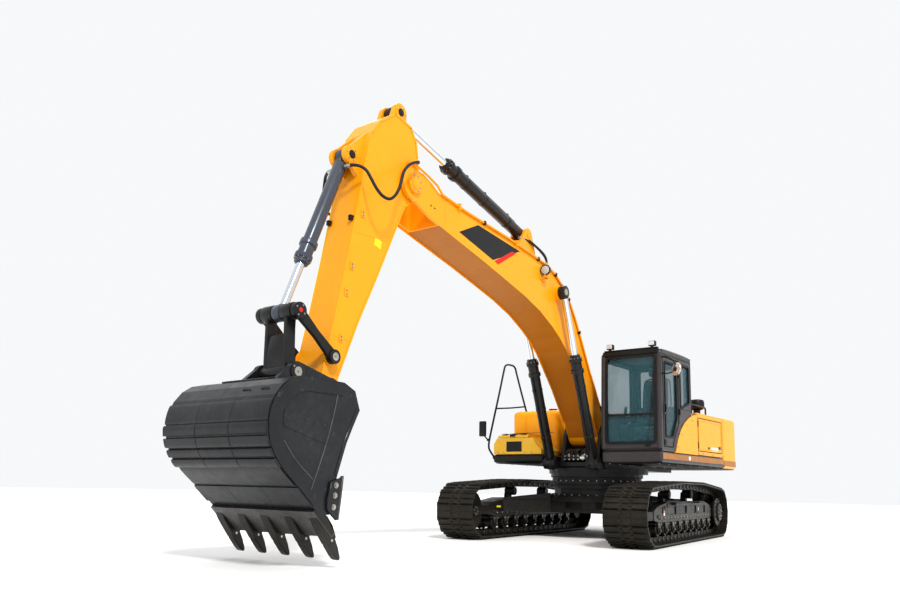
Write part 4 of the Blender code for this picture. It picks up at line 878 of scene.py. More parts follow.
cylinder("boom", "boom_cylinders", "boom_rods", ("boom_cylinder_left", "boom_cylinder_right"), ("boom_rod_left", "boom_rod_right"),
         CYL_FOOT, CYL_HEAD, (CYL_Y, -CYL_Y), .080, .099, .050, 1.730, 1.20, .100, .047, CYLB, .048)
cylinder("arm", "arm_cylinder", "arm_rod", ("arm_cylinder",), ("arm_rod",), ARM_CYL_BASE, ARM_CYL_ROD, (0,), .085, .108, .053, 2.000, 1.14,
         .098, .060, CYLB, .046)
cylinder("bucket", "bucket_cylinder", "bucket_rod", ("bucket_cylinder",), ("bucket_rod",), BKT_CYL_BASE, KNUCKLE, (0,), .078, .098, .046,
         1.480, .508, .090, .055, CYL, .046, (6.345, 4.330))


# ------------------------------------------------------------ boom
BOOM_TOP = [(5.15, 4.590), (5.00, 4.530), (4.84, 4.440), (4.24, 4.385), (3.19, 4.290), (2.50, 4.200), (2.15, 4.150), (1.88, 4.060),
            (1.63, 3.900), (1.42, 3.700), (1.23, 3.450), (1.03, 3.130), (.78, 2.700), (.42, 2.150)]
BOOM_LOW = [(.62, 1.880), (1.02, 2.400), (1.50, 2.920), (1.72, 3.090), (1.95, 3.230), (2.33, 3.410), (2.77, 3.555), (3.22, 3.670),
            (3.80, 3.815), (4.57, 3.990), (5.00, 4.090), (5.28, 4.205)]
DEC = [(3.964, 4.266), (2.902, 4.161), (3.598, 3.868), (4.394, 4.057)]
BAR = [(3.117, 4.109), (3.010, 4.102), (3.471, 3.833), (3.556, 3.863)]
k = Kit(YEL, ZINC, RED, DECAL, BLK, LENS, BOOM_BELLY_PAINTED_SHADE, GSK, SILVER, EDGE)
for s in (1, -1):
    y0, y1 = sorted((s * .2695, s * .2765))
    # welded flange edges stand just proud of the side plates
    top_line = BOOM_TOP[1:]
    for line, w in ((top_line, .022), (BOOM_LOW, -.022)):
        for (a, b) in zip(line, line[1:]):
            d = Vector((b[0] - a[0], b[1] - a[1])).normalized()
            nn = Vector((-d.y, d.x)) * w
            k.raw([(p[0], y, p[1]) for y in (y0, y1) for p in (a, b, (b[0] + nn.x, b[1] + nn.y), (a[0] + nn.x, a[1] + nn.y))],
                  [(0, 1, 2, 3), (7, 6, 5, 4), (0, 4, 5, 1), (2, 6, 7, 3), (1, 5, 6, 2), (3, 7, 4, 0)])
    # round doublers about the pins, pin retainers and bolts
    o = lambda a, b: sorted((s * a, s * b))
    for pin, r_, lo, hi in ((FOOT, .170, .2695, .278), (CYL_HEAD, .150, .2695, .280)):
        k.across(pin, r_, *o(lo, hi), seg=40, bevel=.004)
    k.across(TIP, .122, *o(.298, .304), seg=40, bevel=.004)
    k.across(TIP, .070, *o(.3025, .3115), seg=32, bevel=.003)
    k.m = 1
    for i in range(8):
        q = math.radians(45 * i + 20)
        k.bolt((TIP[0] + .098 * math.cos(q), s * .304, TIP[1] + .098 * math.sin(q)), (0, s, 0), .008, .007)
    for pin, yy in ((CYL_HEAD, .3255),):
        k.bolt((pin[0], s * yy, pin[1]), (0, s, 0), .012, .008, False)
    k.m = 0
    k.across(CYL_HEAD, .112, *o(.30, .3265), seg=36, bevel=.004)
    # inspection plugs, slots, and two weld seams, one near the tip
    k.m = 4
    for x, z in ((4.90, 4.21), (4.975, 4.225)):
        k.prism([(x, z), (x + .036, z + .008), (x + .033, z + .022), (x - .003, z + .014)], *o(.270, .2712))
    k.m = 0
    k.prism([(4.70, 4.045), (4.712, 4.048), (4.690, 4.405), (4.678, 4.404)], *o(.2695, .2725))
    k.prism([(2.13, 3.35), (2.142, 3.355), (1.992, 4.085), (1.980, 4.080)], *o(.2695, .2725))
    # blank black parallelogram and plain red bar
    k.m = 3
    if s == 1:
        k.prism(DEC, *o(.2703, .2715))
        k.m = 2
        k.prism(BAR, *o(.2703, .2725))
    else:
        k.prism(DEC, *o(.2703, .2715))
        k.m = 2
        k.prism(BAR, *o(.2703, .2725))
    k.m = 0
# underside plate: its darker yellow is painted shade, with dirt patches on it
k.m = 6
BELLY = [(.4787, 1.632)] + BOOM_LOW[:-2] + [(4.780, 4.0388)]
for (a, b) in zip(BELLY[:-1], BELLY[1:]):
    d = Vector((b[0] - a[0], b[1] - a[1])).normalized()
    nn = Vector((d.y, -d.x)) * .0025
    k.raw([(a[0], -.262, a[1]), (b[0], -.262, b[1]), (b[0], .262, b[1]), (a[0], .262, a[1]),
           (a[0] + nn.x, -.262, a[1] + nn.y), (b[0] + nn.x, -.262, b[1] + nn.y), (b[0] + nn.x, .262, b[1] + nn.y), (a[0] + nn.x, .262, a[1] + nn.y)],
          [(0, 1, 2, 3), (7, 6, 5, 4), (0, 4, 5, 1), (2, 6, 7, 3), (1, 5, 6, 2), (3, 7, 4, 0)])
# lamp on a bracket on the left side
k.m = 0
k.prism([(2.20, 3.84), (2.36, 3.88), (2.36, 3.93), (2.20, 3.90)], .270, .284, bevel=.003)
k.box((2.235, .280, 3.885), (2.325, .352, 3.897), .003)
k.box((2.235, .340, 3.885), (2.325, .352, 3.945), .003)
k.m = 4
k.lathe([(.030, -.070), (.052, -.050), (.074, -.010), (.080, .022), (.080, .034), (.074, .040), (.068, .036)], (2.29, .350, 4.010), (1, .12, -.10), 36)
k.m = 8
k.lathe([(.020, -.020), (.040, -.012), (.064, .014), (.069, .030)], (2.29, .350, 4.010), (1, .12, -.10), 36)
k.m = 5
k.lathe([(.068, .026), (.062, .040), (.045, .048), (.0, .051)], (2.29, .350, 4.010), (1, .12, -.10), 36)
# steel lines that climb beside the boom: clamps, unions and the short hoses at the arm cylinder's foot
k.m = 1
for s in (1, -1):
    for x, z in ((3.02, 4.262), (4.42, 4.392), (1.70, 3.925)):
        k.bolt((x, s * .302, z - .012), (0, s, 0), .010, .010)
k.done("boom_trim", "boom", slot="yellow_paint")

k = Kit(RUB, ZINC, BLK)
for s in (1, -1):
    for j, (z0, dx) in enumerate(((0.0, 0.0), (.035, .05))):
        k.m = 0
        p = curve([(2.05 - dx, s * (.235 - .03 * j), 4.135 - dx * .3), (2.10 - dx, s * (.225 - .03 * j), 4.27 + z0), (2.26, s * (.17 - .03 * j), 4.40 + z0),
                   (2.46, s * (.115 - .02 * j), 4.47 + z0), (2.58 + dx, s * (.105 - .02 * j), 4.46 + z0 * .5)], 6)
        k.tube(p, .017, 10)
        k.m = 1
        k.tube(p[:4], .021, 12)
        k.tube(p[-4:], .021, 12)
        k.rod(p[0], p[0] + (p[1] - p[0]).normalized() * .030, .026, 6)
k.m = 2
k.box((1.94, -.255, 4.075), (2.12, .255, 4.118), .008)
k.done("boom_shoulder_hoses", "boom", slot="hose_rubber")

# clamps and bolts along the steel pipes of the boom
k = Kit(YEL, BLK, ZINC)
for s in (1, -1):
    base = inset([(6.0, 4.60)] + BOOM_TOP + [(.30, 1.95), (.0, 1.2), (9, 0)], .024)
    run = curve([(x, s * .2895, z) for x, z in base[2:-4]], 5)
    for i in range(12, len(run) - 4, 9):
        k.m = 1
        c = run[i]
        d = (run[i + 1] - run[i - 1]).normalized()
        k.box((-.022, -.020, -.026), (.022, .020, .026), .004, at=Matrix.Translation(c - Vector((0, s * .001, 0))) @ Matrix((tuple(d), (0, 1, 0), (-d.z, 0, d.x))).transposed().to_4x4())
        k.m = 2
        k.bolt(c + Vector((0, s * .0195, 0)), (0, s, 0), .007, .006, False)
k.done("boom_pipe_clamps", "boom", slot="yellow_paint")


# ------------------------------------------------------------ arm
k = Kit(YEL, ZINC, BLK, LBL, EDGE, YEL_PAINTED_HIGHLIGHT)
arm_front = [(6.705, 1.900), (6.530, 2.600), (6.380, 3.260), (6.235, 3.940), (6.160, 4.380), (6.050, 4.830), (5.900, 5.030), (5.640, 5.215),
             (5.545, 5.205), (5.330, 5.150), (5.225, 4.980), (5.190, 4.800)]
arm_back = [(5.300, 4.190), (5.420, 4.100), (5.870, 3.150), (6.170, 2.550), (6.440, 1.930)]
for s in (1, -1):
    o = lambda a, b: sorted((s * a, s * b))
    y0, y1 = o(.2065, .2135)
    for line, w in ((arm_front, .026), (arm_back, .022)):
        for (a, b) in zip(line, line[1:]):
            d = Vector((b[0] - a[0], b[1] - a[1])).normalized()
            nn = Vector((-d.y, d.x)) * w
            k.raw([(p[0], y, p[1]) for y in (y0, y1) for p in (a, b, (b[0] + nn.x, b[1] + nn.y), (a[0] + nn.x, a[1] + nn.y))],
                  [(0, 1, 2, 3), (7, 6, 5, 4), (0, 4, 5, 1), (2, 6, 7, 3), (1, 5, 6, 2), (3, 7, 4, 0)])
    # welded seam plates where the thicker head and foot plates meet the middle
    for a, b in (((5.66, 3.60), (6.31, 3.57)), ((6.28, 2.33), (6.598, 2.36))):
        d = Vector((b[0] - a[0], b[1] - a[1])).normalized() * .006
        nn = Vector((-d.y, d.x))
        k.prism([(a[0] - nn.x, a[1] - nn.y), (b[0] - nn.x, b[1] - nn.y), (b[0] + nn.x, b[1] + nn.y), (a[0] + nn.x, a[1] + nn.y)], *o(.2065, .2090))
    # hose lugs along the front edge
    for x, z in ((6.15, 3.81), (6.30, 3.17), (6.37, 2.86), (6.43, 2.34)):
        k.m = 0
        k.prism([(x - .03, z - .045), (x + .03, z - .045), (x + .03, z + .045), (x - .03, z + .045)], *o(.2065, .216), bevel=.003)
        k.m = 1
        k.bolt((x, s * .216, z + .02), (0, s, 0), .009, .008)
        k.bolt((x, s * .216, z - .02), (0, s, 0), .009, .008)
    k.m = 0
    # ear plates' retainers for the two cylinder pins
    for pin, rr in ((ARM_CYL_ROD, .100), (BKT_CYL_BASE, .096)):
        k.m = 0
        k.across(pin, rr, *o(.1295, .1355), seg=36, bevel=.003)
        k.m = 2
        k.across(pin, .050, *o(.1350, .1425), seg=30, bevel=.003)
        k.m = 1
        for i in range(6):
            q = math.radians(60 * i + 10)
            k.bolt((pin[0] + .076 * math.cos(q), s * .1355, pin[1] + .076 * math.sin(q)), (0, s, 0), .007, .007)
    k.m = 0
    # foot bosses at the bucket pin and the idler pin
    k.across(BUCKET_PIN, .128, *o(.2065, .2185), seg=40, bevel=.004)
    k.across(IDLER_PIN, .092, *o(.2065, .2235), seg=36, bevel=.004)
    k.across(TIP, .168, *o(.2065, .2165), seg=40, bevel=.004)
    k.m = 3
    k.prism([(5.835, 3.475), (5.945, 3.505), (5.928, 3.600), (5.818, 3.570)], *o(.2068, .2080))
k.m = 0
# small stops and a hose guide on the front face
for s in (1, -1):
    k.m = 2
    k.box((6.250, s * .172 - .020, 3.70), (6.330, s * .172 + .020, 3.76), .004)
k.done("arm_trim", "arm", slot="yellow_paint")


# ------------------------------------------------------------ bucket linkage
k = Kit(BLK, CYLB, ZINC, RED, EDGE)
u2 = Vector((KNUCKLE[0] - IDLER_PIN[0], KNUCKLE[1] - IDLER_PIN[1]))
un = u2.normalized()
vn = Vector((-un.y, un.x))
for s in (1, -1):
    o = lambda a, b: sorted((s * a, s * b))
    P2 = lambda t, w: (IDLER_PIN[0] + un.x * t + vn.x * w, IDLER_PIN[1] + un.y * t + vn.y * w)
    L2 = u2.length
    k.m = 0
    k.prism([P2(.05, -.060), P2(L2 * .5, -.046), P2(L2 - .05, -.062), P2(L2 - .05, .062), P2(L2 * .5, .046), P2(.05, .060)], *o(.2365, .2815), bevel=.006)
    k.across(KNUCKLE, .0845, *o(.2305, .3000), seg=36, bevel=.005)
    k.across(IDLER_PIN, .0775, *o(.2255, .3000), seg=36, bevel=.005)
    k.m = 3
    k.across(KNUCKLE, .026, *o(.2995, .3060), seg=28, bevel=.003)
    k.m = 2
    for i in range(4):
        q = math.radians(90 * i + 30)
        k.bolt((KNUCKLE[0] + .060 * math.cos(q), s * .300, KNUCKLE[1] + .060 * math.sin(q)), (0, s, 0), .007, .006)
    k.across(IDLER_PIN, .044, *o(.2995, .3045), seg=28, bevel=.002)
    k.bolt((IDLER_PIN[0], s * .3045, IDLER_PIN[1]), (0, s, 0), .010, .006, False)
k.done("idler_link_finish", "idler_links", replaces=("idler_link_left", "idler_link_right"))

k = Kit(CYLB, BLK, ZINC, RED)
u2 = Vector((KNUCKLE[0] - LINK_PIN[0], KNUCKLE[1] - LINK_PIN[1]))
un = u2.normalized()
vn = Vector((-un.y, un.x))
L2 = u2.length
P2 = lambda t, w: (LINK_PIN[0] + un.x * t + vn.x * w, LINK_PIN[1] + un.y * t + vn.y * w)
k.across(LINK_PIN, .0845, -.205, .205, 40, .005)
for s in (1, -1):
    o = lambda a, b: sorted((s * a, s * b))
    k.prism([P2(.0, -.062), P2(.12, -.070), P2(L2 - .16, -.064), P2(L2, -.070), P2(L2, .070), P2(L2 - .16, .064), P2(.12, .070), P2(0, .062)],
            *o(.1195, .1655), bevel=.008)
    k.across(KNUCKLE, .0915, *o(.0685, .2215), seg=40, bevel=.005)
    k.m = 2
    k.bolt((*P2(.0, .083),)[:1] + (s * .15,) + (*P2(.0, .083),)[1:], (vn.x, 0, vn.y), .007, .004, False)
    k.m = 0
k.prism([P2(.05, -.060), P2(.13, -.066), P2(L2 - .235, -.056), P2(L2 - .225, -.030), P2(L2 - .235, -.005), P2(.13, .040), P2(.05, .048)], -.130, .130, bevel=.008)
k.done("bucket_link_finish", "bucket_link", replaces=("bucket_link",))


# ------------------------------------------------------------ bucket
OUT = [(6.900, 1.762), (7.300, 1.772), (7.440, 1.780), (7.590, 1.745), (7.700, 1.675), (7.790, 1.570), (7.845, 1.450), (7.865, 1.300),
       (7.840, 1.150), (7.765, 1.010), (7.640, .885), (7.480, .755), (7.280, .580), (7.190, .500)]


def skin_band(kit, z_hi, z_lo, proud, y0, y1, rim=.006, sub=5):
    """A wear strip that follows the wrapper's outer curve between two heights."""
    fine = []
    c = curve([(x, 0, z) for x, z in OUT], 6)
    for p in c:
        if p.z <= z_hi + 1e-6 and p.z >= z_lo - 1e-6 and p.x > 7.18:
            fine.append((p.x, p.z))

    def on(z):
        for a, b in zip(c, c[1:]):
            if (a.z - z) * (b.z - z) <= 0 and a.x > 7.15 and abs(a.z - b.z) > 1e-6 and b.z < a.z:
                t = (a.z - z) / (a.z - b.z)
                return (a.x + (b.x - a.x) * t, z)
    top, bot = on(z_hi), on(z_lo)
    line = [top] + [p for p in fine if z_lo < p[1] < z_hi] + [bot]
    outp = []
    for i, p in enumerate(line):
        a, b = line[max(i - 1, 0)], line[min(i + 1, len(line) - 1)]
        d = Vector((b[0] - a[0], b[1] - a[1])).normalized()
        nn = Vector((-d.y, d.x))
        edge = rim if i in (0, len(line) - 1) else 0
        outp.append((p[0] + nn.x * (proud - edge), p[1] + nn.y * (proud - edge)))
    inn = []
    for i, p in enumerate(line):
        a, b = line[max(i - 1, 0)], line[min(i + 1, len(line) - 1)]
        d = Vector((b[0] - a[0], b[1] - a[1])).normalized()
        inn.append((p[0] + d.y * .006, p[1] - d.x * .006))
    kit.prism(outp + list(reversed(inn)), y0, y1, bevel=.0)


k = Kit(BKT, EDGE, ZINC, DECAL, TOOTH)
W = BUCKET_W
k.m = 0
for y0, y1 in ((-W - .004, -.252), (-.248, .248), (.252, W + .004)):
    skin_band(k, 1.530, 1.335, .012, y0, y1)
for z1, z0 in ((1.322, 1.222), (1.202, 1.112), (1.092, 1.022), (1.004, .934)):
    for y0, y1 in ((-W - .008, -.255), (-.247, .247), (.255, W + .008)):
        skin_band(k, z1, z0, .026, y0, y1, .010)
skin_band(k, .925, .764, .008, -W + .01, W - .01)
for y0, y1 in ((-W - .004, -.252), (-.248, .248), (.252, W + .004)):
    skin_band(k, .752, .600, .016, y0, y1)
for s in (1, -1):
    o = lambda a, b: sorted((s * a, s * b))
    # side: rim band along the wrapper, wear plate, side cutter with its bolts, weld seam
    k.m = 0
    rim = [(6.905, 1.735), (7.300, 1.768), (7.440, 1.776), (7.586, 1.741), (7.695, 1.671), (7.785, 1.567), (7.840, 1.449), (7.860, 1.300), (7.835, 1.152),
           (7.760, 1.013), (7.636, .888), (7.476, .759), (7.276, .584)]
    inner_rim = [(7.290, .700), (7.505, .905), (7.640, 1.050), (7.700, 1.180), (7.722, 1.300), (7.700, 1.420), (7.640, 1.520), (7.540, 1.600), (7.430, 1.640),
                 (7.026, 1.640), (6.935, 1.640)]
    ln1, ln2 = rim, list(reversed(inner_rim))
    mm = 12
    def along(line, t):
        ds = [0]
        for a, b in zip(line, line[1:]):
            ds.append(ds[-1] + math.dist(a, b))
        q = t * ds[-1]
        for i in range(len(ds) - 1):
            if q <= ds[i + 1] or i == len(ds) - 2:
                f = (q - ds[i]) / (ds[i + 1] - ds[i])
                return (line[i][0] + (line[i + 1][0] - line[i][0]) * f, line[i][1] + (line[i + 1][1] - line[i][1]) * f)
    A = [along(ln1, i / 22) for i in range(23)]
    B = [along(ln2, i / 22) for i in range(23)]
    ya, yb = s * .758, s * .7725
    for i in range(22):
        k.raw([(p[0], y, p[1]) for y in (ya, yb) for p in (A[i], A[i + 1], B[i + 1], B[i])],
              [(0, 1, 2, 3), (7, 6, 5, 4), (0, 4, 5, 1), (2, 6, 7, 3), (1, 5, 6, 2), (3, 7, 4, 0)])
    k.prism([(7.673, 1.453), (7.078, 1.330), (7.123, 1.151), (7.679, 1.293)], *o(.758, .7665), bevel=.003)
    k.prism([(6.911, .86), (7.078, .805), (7.115, .640), (7.109, .544), (6.985, .445), (6.960, .500), (6.935, .680)], *o(.758, .788), bevel=.006)
    k.m = 1
    k.prism([(6.909, .868), (6.930, .862), (6.978, .455), (6.960, .450), (6.930, .660)], *o(.756, .7905), bevel=.003)
    k.m = 2
    for x, z in ((7.010, .775), (7.022, .680), (7.035, .572)):
        k.bolt((x, s * .788, z), (0, s, 0), .020, .013)
    k.m = 1
    seam = curve([(6.997, s * .761, 1.735), (7.024, s * .761, 1.55), (7.087, s * .761, 1.322), (7.157, s * .761, 1.11), (7.230, s * .761, .92), (7.274, s * .761, .815), (7.326, s * .761, .690)], 5)
    k.tube(seam, .0075, 8)
    k.tube(curve([(7.672, s * .761, 1.171), (7.50, s * .761, .985), (7.292, s * .761, .827)], 5), .006, 8)
    k.m = 0
    # side plate's stiffened front edge, ear doublers and gussets
    k.prism([(6.690, 1.520), (6.735, 1.535), (6.905, 1.190), (7.015, .880), (6.985, .860), (6.870, 1.180)], *o(.758, .768), bevel=.003)
    k.prism([(6.80, 1.700), (6.93, 1.764), (7.33, 1.775), (7.20, 1.800), (7.06, 1.815), (6.90, 1.790)], *o(.2825, .300), bevel=.004)
    k.across(BUCKET_PIN, .112, *o(.2815, .2935), seg=40, bevel=.004)
    k.across(LINK_PIN, .092, *o(.2815, .2935), seg=36, bevel=.004)
    k.m = 2
    for pin in (BUCKET_PIN, LINK_PIN):
        k.across(pin, .050, *o(.2930, .2985), seg=30, bevel=.002)
        k.bolt((pin[0], s * .2985, pin[1]), (0, s, 0), .011, .007, False)
        for q in (.7, 3.84):
            k.bolt((pin[0] + .076 * math.cos(q), s * .2935, pin[1] + .076 * math.sin(q)), (0, s, 0), .008, .006)
    k.m = 0
# top wrapper: step line, pads beneath the ears, two oval dimples
for y0, y1 in ((-W, W),):
    k.prism([(6.905, 1.7610), (7.300, 1.7715), (7.300, 1.7765), (6.912, 1.768)], y0, y1)
k.prism([(7.44, 1.778), (7.52, 1.762), (7.524, 1.778), (7.45, 1.795)], -.36, .36, bevel=.003)
k.m = 3
for yy in (.30, .56):
    k.tube([Vector((7.738 + .0, yy + .055 * math.cos(q), 1.634 + .012 * math.sin(q))) for q in [2 * math.pi * i / 24 for i in range(24)]], .0055, 6, closed=True)
# lip: worn edge plate, adapters and teeth with their pins
k.m = 1
k.prism([(7.2655, .5315), (7.2705, .528), (7.026, .296), (7.016, .293), (6.982, .324), (6.987, .332), (7.021, .3035)], -W, W)
k.done("bucket_wear_parts", "bucket", slot="black_paint")

k = Kit(TOOTH, EDGE, ZINC)
for i in range(5):
    yc = -.70 + .35 * i
    k.m = 0
    k.prism([(7.215, .476), (7.172, .402), (7.110, .320), (7.034, .222), (6.992, .248), (6.950, .288), (7.000, .400), (7.080, .496), (7.090, .488), (7.012, .396),
             (6.992, .330), (7.022, .300), (7.205, .480)], yc - .056, yc + .056, bevel=.006)
    k.prism([(7.066, .268), (7.030, .205), (6.960, .122), (6.915, .078), (6.884, .072), (6.876, .100), (6.905, .190), (6.945, .270), (6.964, .318), (7.000, .330)],
            yc - .046, yc + .046, bevel=.010)
    k.m = 2
    k.rod((7.010, yc - .060, .262), (7.010, yc + .060, .262), .013, 12)
    k.m = 1
    k.prism([(6.922, .086), (6.888, .069), (6.872, .078), (6.872, .104), (6.884, .140), (6.892, .110)], yc - .036, yc + .036, bevel=.004)
k.done("bucket_tooth_finish", "bucket", slot="track_steel")


# ------------------------------------------------------------ cab
def front(z):
    return 0.840 - 0.028 * (z - 1.43)


def ring(kit, outline, width, y0, y1, closed=True):
    strip(kit, outline, width, y0, y1, closed)


def rounded(poly, r, n=4):
    """The outline with each corner rounded."""
    out = []
    m = len(poly)
    for i in range(m):
        p, q, s_ = Vector(poly[i - 1]), Vector(poly[i]), Vector(poly[(i + 1) % m])
        a, b = (p - q), (s_ - q)
        rr = min(r, a.length * .45, b.length * .45)
        a, b = q + a.normalized() * rr, q + b.normalized() * rr
        for j in range(n + 1):
            t = j / n
            v = a * (1 - t) ** 2 + q * 2 * t * (1 - t) + b * t ** 2
            out.append((v.x, v.y))
    return out


k = Kit(CAB, GSK, BLK, SILVER, ZINC, WHT, LENS, LINER, MIRR, PLA)
# windscreen gasket, split bar between the upper and lower panes, latches, wiper
ws = rounded([(.590, 1.500), (1.400, 1.500), (1.400, 2.860), (.590, 2.860)], .055)
def on_front(y, z, d=0.0):
    return (front(z) + d, y, z)
inn = inset(ws, .026)
outn = inset(ws, -.014)
k.m = 1
n = len(ws)
for i in range(n):
    j = (i + 1) % n
    v = [on_front(p[0], p[1], d) for d in (-.004, .009) for p in (outn[i], outn[j], inn[j], inn[i])]
    k.raw(v, [(0, 1, 2, 3), (7, 6, 5, 4), (0, 4, 5, 1), (2, 6, 7, 3), (1, 5, 6, 2), (3, 7, 4, 0)])
k.m = 2
k.box((front(1.944) - .020, .592, 1.930), (front(1.944) + .006, 1.398, 1.957), .004)
k.m = 9
for y in (1.345, .640):
    k.box((front(1.90) - .045, y - .022, 1.895), (front(1.90) - .004, y + .022, 1.928), .004)
# wiper: pivot, arm and blade parked along the left edge of the upper pane
k.m = 2
k.box((front(1.47) - .010, 1.235, 1.452), (front(1.47) + .028, 1.315, 1.492), .006)
k.tube([on_front(1.275, 1.475, .026), on_front(1.300, 1.60, .028), on_front(1.335, 2.02, .024), on_front(1.345, 2.25, .018)], .0065, 8)
k.tube([on_front(1.352, 1.985, .014), on_front(1.358, 2.28, .014), on_front(1.360, 2.56, .014)], .0060, 6)
k.box((front(2.90) - .010, .535, 2.882), (front(2.90) + .012, 1.455, 2.9565), .006)
k.m = 0
for y in (.536, 1.454):
    k.tube(curve([(front(1.42) - .026, y, 1.42), (front(1.9) - .024, y, 1.90), (front(2.4) - .024, y, 2.40), (front(2.84) - .026, y, 2.84), (front(2.9) - .040, y, 2.905)], 5),
           [.040] * 21, 16)
for y in (.530, 1.460):
    k.tube(curve([(front(2.9) - .040, y, 2.905), (.60, y, 2.922), (.2, y, 2.926), (-.20, y, 2.924), (-.385, y, 2.910), (-.415, y, 2.86), (-.418, y, 2.60), (-.418, y, 2.20)], 5), .0365, 16)
k.tube(curve([(front(2.9) - .040, .536, 2.912), (front(2.9) - .032, .70, 2.918), (front(2.9) - .032, 1.29, 2.918), (front(2.9) - .040, 1.454, 2.912)], 5), .036, 14)
# roof edge roll, gutter above the door, drip strips and roof ribs
k.m = 0
k.tube(curve([(-.43, 1.488, 2.925), (0.1, 1.491, 2.925), (.60, 1.491, 2.925), (.755, 1.486, 2.925)], 4), .012, 8)
for y in (.66, 1.33):
    k.tube(curve([(-.38, y, 2.9565), (-.20, y, 2.9590), (.62, y, 2.9590), (.70, y, 2.9565)], 3), .007, 6)
k.m = 2
k.prism([(-.40, 2.868), (.745, 2.868), (.745, 2.880), (-.40, 2.880)], 1.488, 1.502, bevel=.003)
# gaskets of the right, rear and quarter windows
k.m = 1
for poly, y0, y1 in ((rounded([(-.30, 1.98), (.66, 1.98), (.66, 2.83), (-.30, 2.83)], .05), .488, .502),
                     (rounded([(.035, 2.08), (.035, 2.79), (-.35, 2.79), (-.35, 2.19)], .05), 1.486, 1.4985)):
    o_ = inset(poly, -.012)
    ring(k, o_, .032, y0, y1)
rw = rounded([(.60, 2.15), (1.38, 2.15), (1.38, 2.80), (.60, 2.80)], .05)
ro, ri = inset(rw, -.012), inset(rw, .020)
for i in range(len(rw)):
    j = (i + 1) % len(rw)
    v = [(x, p[0], p[1]) for x in (-.460, -.446) for p in (ro[i], ro[j], ri[j], ri[i])]
    k.raw(v, [(0, 1, 2, 3), (7, 6, 5, 4), (0, 4, 5, 1), (2, 6, 7, 3), (1, 5, 6, 2), (3, 7, 4, 0)])
# door surround's outline and hinges on the pillar, pale grab bar inside
k.m = 1
door = [(.745, 1.45), (.745, 2.83), (.12, 2.83), (.12, 1.83), (.375, 1.45)]
k.m = 2
for z in (2.02, 2.62):
    k.box((.060, 1.4885, z - .045), (.104, 1.506, z + .045), .004)
    k.rod((.112, 1.503, z - .045), (.112, 1.503, z + .045), .012, 14)
k.m = 3
k.tube(curve([(.700, 1.432, 1.92), (.690, 1.405, 1.95), (.690, 1.405, 2.10), (.690, 1.405, 2.46), (.700, 1.432, 2.50)], 5), .012, 10)
# seams of the rear corner panel and lower side panel, with fasteners
k.m = 1
for pts_ in ([(-.40, 1.4905, 2.075), (.10, 1.4905, 2.075)], [(.095, 1.4905, 1.835), (.095, 1.4905, 2.86)], [(-.40, 1.4905, 1.47), (.37, 1.4905, 1.47)]):
    k.tube([Vector(p) for p in pts_], .0035, 6)
k.m = 4
for x in (-.36, -.20, -.04):
    k.bolt((x, 1.4905, 1.445), (0, 1, 0), .008, .005)
for z in (1.62, 1.80, 1.98):
    k.bolt((-.385, 1.4905, z), (0, 1, 0), .008, .005)
# lining: headliner, rear panel and floor mat seen through the glass
k.m = 7
k.box((-.395, .56, 2.885), (.74, 1.43, 2.897), .004)
k.box((-.405, .56, 1.50), (-.395, 1.43, 2.13), .003)
k.m = 9
k.box((-.27, .56, 1.4715), (.745, 1.43, 1.482), .004)
for i in range(12):
    k.box((.30 + .036 * i, .66, 1.482), (.312 + .036 * i, 1.34, 1.487), .0015)
# antenna stub on the roof's rear corner
k.m = 2
k.rod((-.34, .60, 2.955), (-.34, .60, 2.985), .022, 16, .016)
k.done("cab_trim", "house", slot="cab_grey_paint")

# mirror: dished dark glass in a silver ring
k = Kit(BLK, SILVER, MIRR, ZINC)
axis = Vector((0.032, -.018, .005)).normalized()
c0 = Vector((.828, 1.756, 2.592))
k.m = 1
k.lathe([(.060, .034), (.0955, .030), (.1005, .022), (.1015, .012), (.097, .006), (.090, .004)], c0, axis, 44)
k.lathe([(.020, .042), (.050, .038), (.078, .031), (.0905, .024), (.092, .010), (.085, .002), (.060, -.006)], c0, axis, 44)
k.m = 0
k.lathe([(.0, .058), (.018, .056), (.034, .050), (.038, .042), (.038, .030)], c0, axis, 32)
k.m = 2
k.lathe([(.0865, .0015), (.0868, -.0015), (.0860, -.0025)], c0, axis, 44)
k.m = 0
for pts_ in ([(.772, 1.4906, 2.82), (.772, 1.520, 2.82), (.782, 1.556, 2.815), (.792, 1.60, 2.80), (.828, 1.705, 2.72), (.846, 1.743, 2.62)],
             [(.772, 1.4906, 2.56), (.772, 1.520, 2.56), (.782, 1.556, 2.555), (.792, 1.60, 2.55), (.828, 1.705, 2.57), (.846, 1.743, 2.59)]):
    k.tube(curve(pts_, 5), .0105, 10)
    k.lathe([(.020, 0.0), (.020, .004), (.012, .007)], Vector(pts_[0]), (0, 1, 0), 16)
k.done("left_mirror_finish", "house", replaces=("left_mirror",))

# roof lamps and their visor
k = Kit(BLK, LENS, SILVER, ZINC, CHR)
k.m = 0
k.prism([(.742, 2.9562), (.800, 2.9562), (.812, 2.962), (.812, 2.976), (.800, 2.9775), (.742, 2.974)], .56, 1.44, bevel=.002)
for y in (.64, 1.34):
    k.m = 0
    k.box((.757, y - .018, 2.970), (.784, y + .018, 3.008), .003)
    k.box((.712, y - .0555, 2.999), (.795, y + .0555, 3.0805), .012, 2)
    k.m = 4
    k.box((.790, y - .048, 3.006), (.802, y + .048, 3.074), .005)
    k.m = 1
    k.box((.797, y - .046, 3.008), (.8075, y + .046, 3.072), .006)
    k.m = 3
    k.bolt((.770, y + .0185, 2.988), (0, 1, 0), .006, .005)
k.done("roof_lamp_finish", "house", replaces=("roof_lamps",))

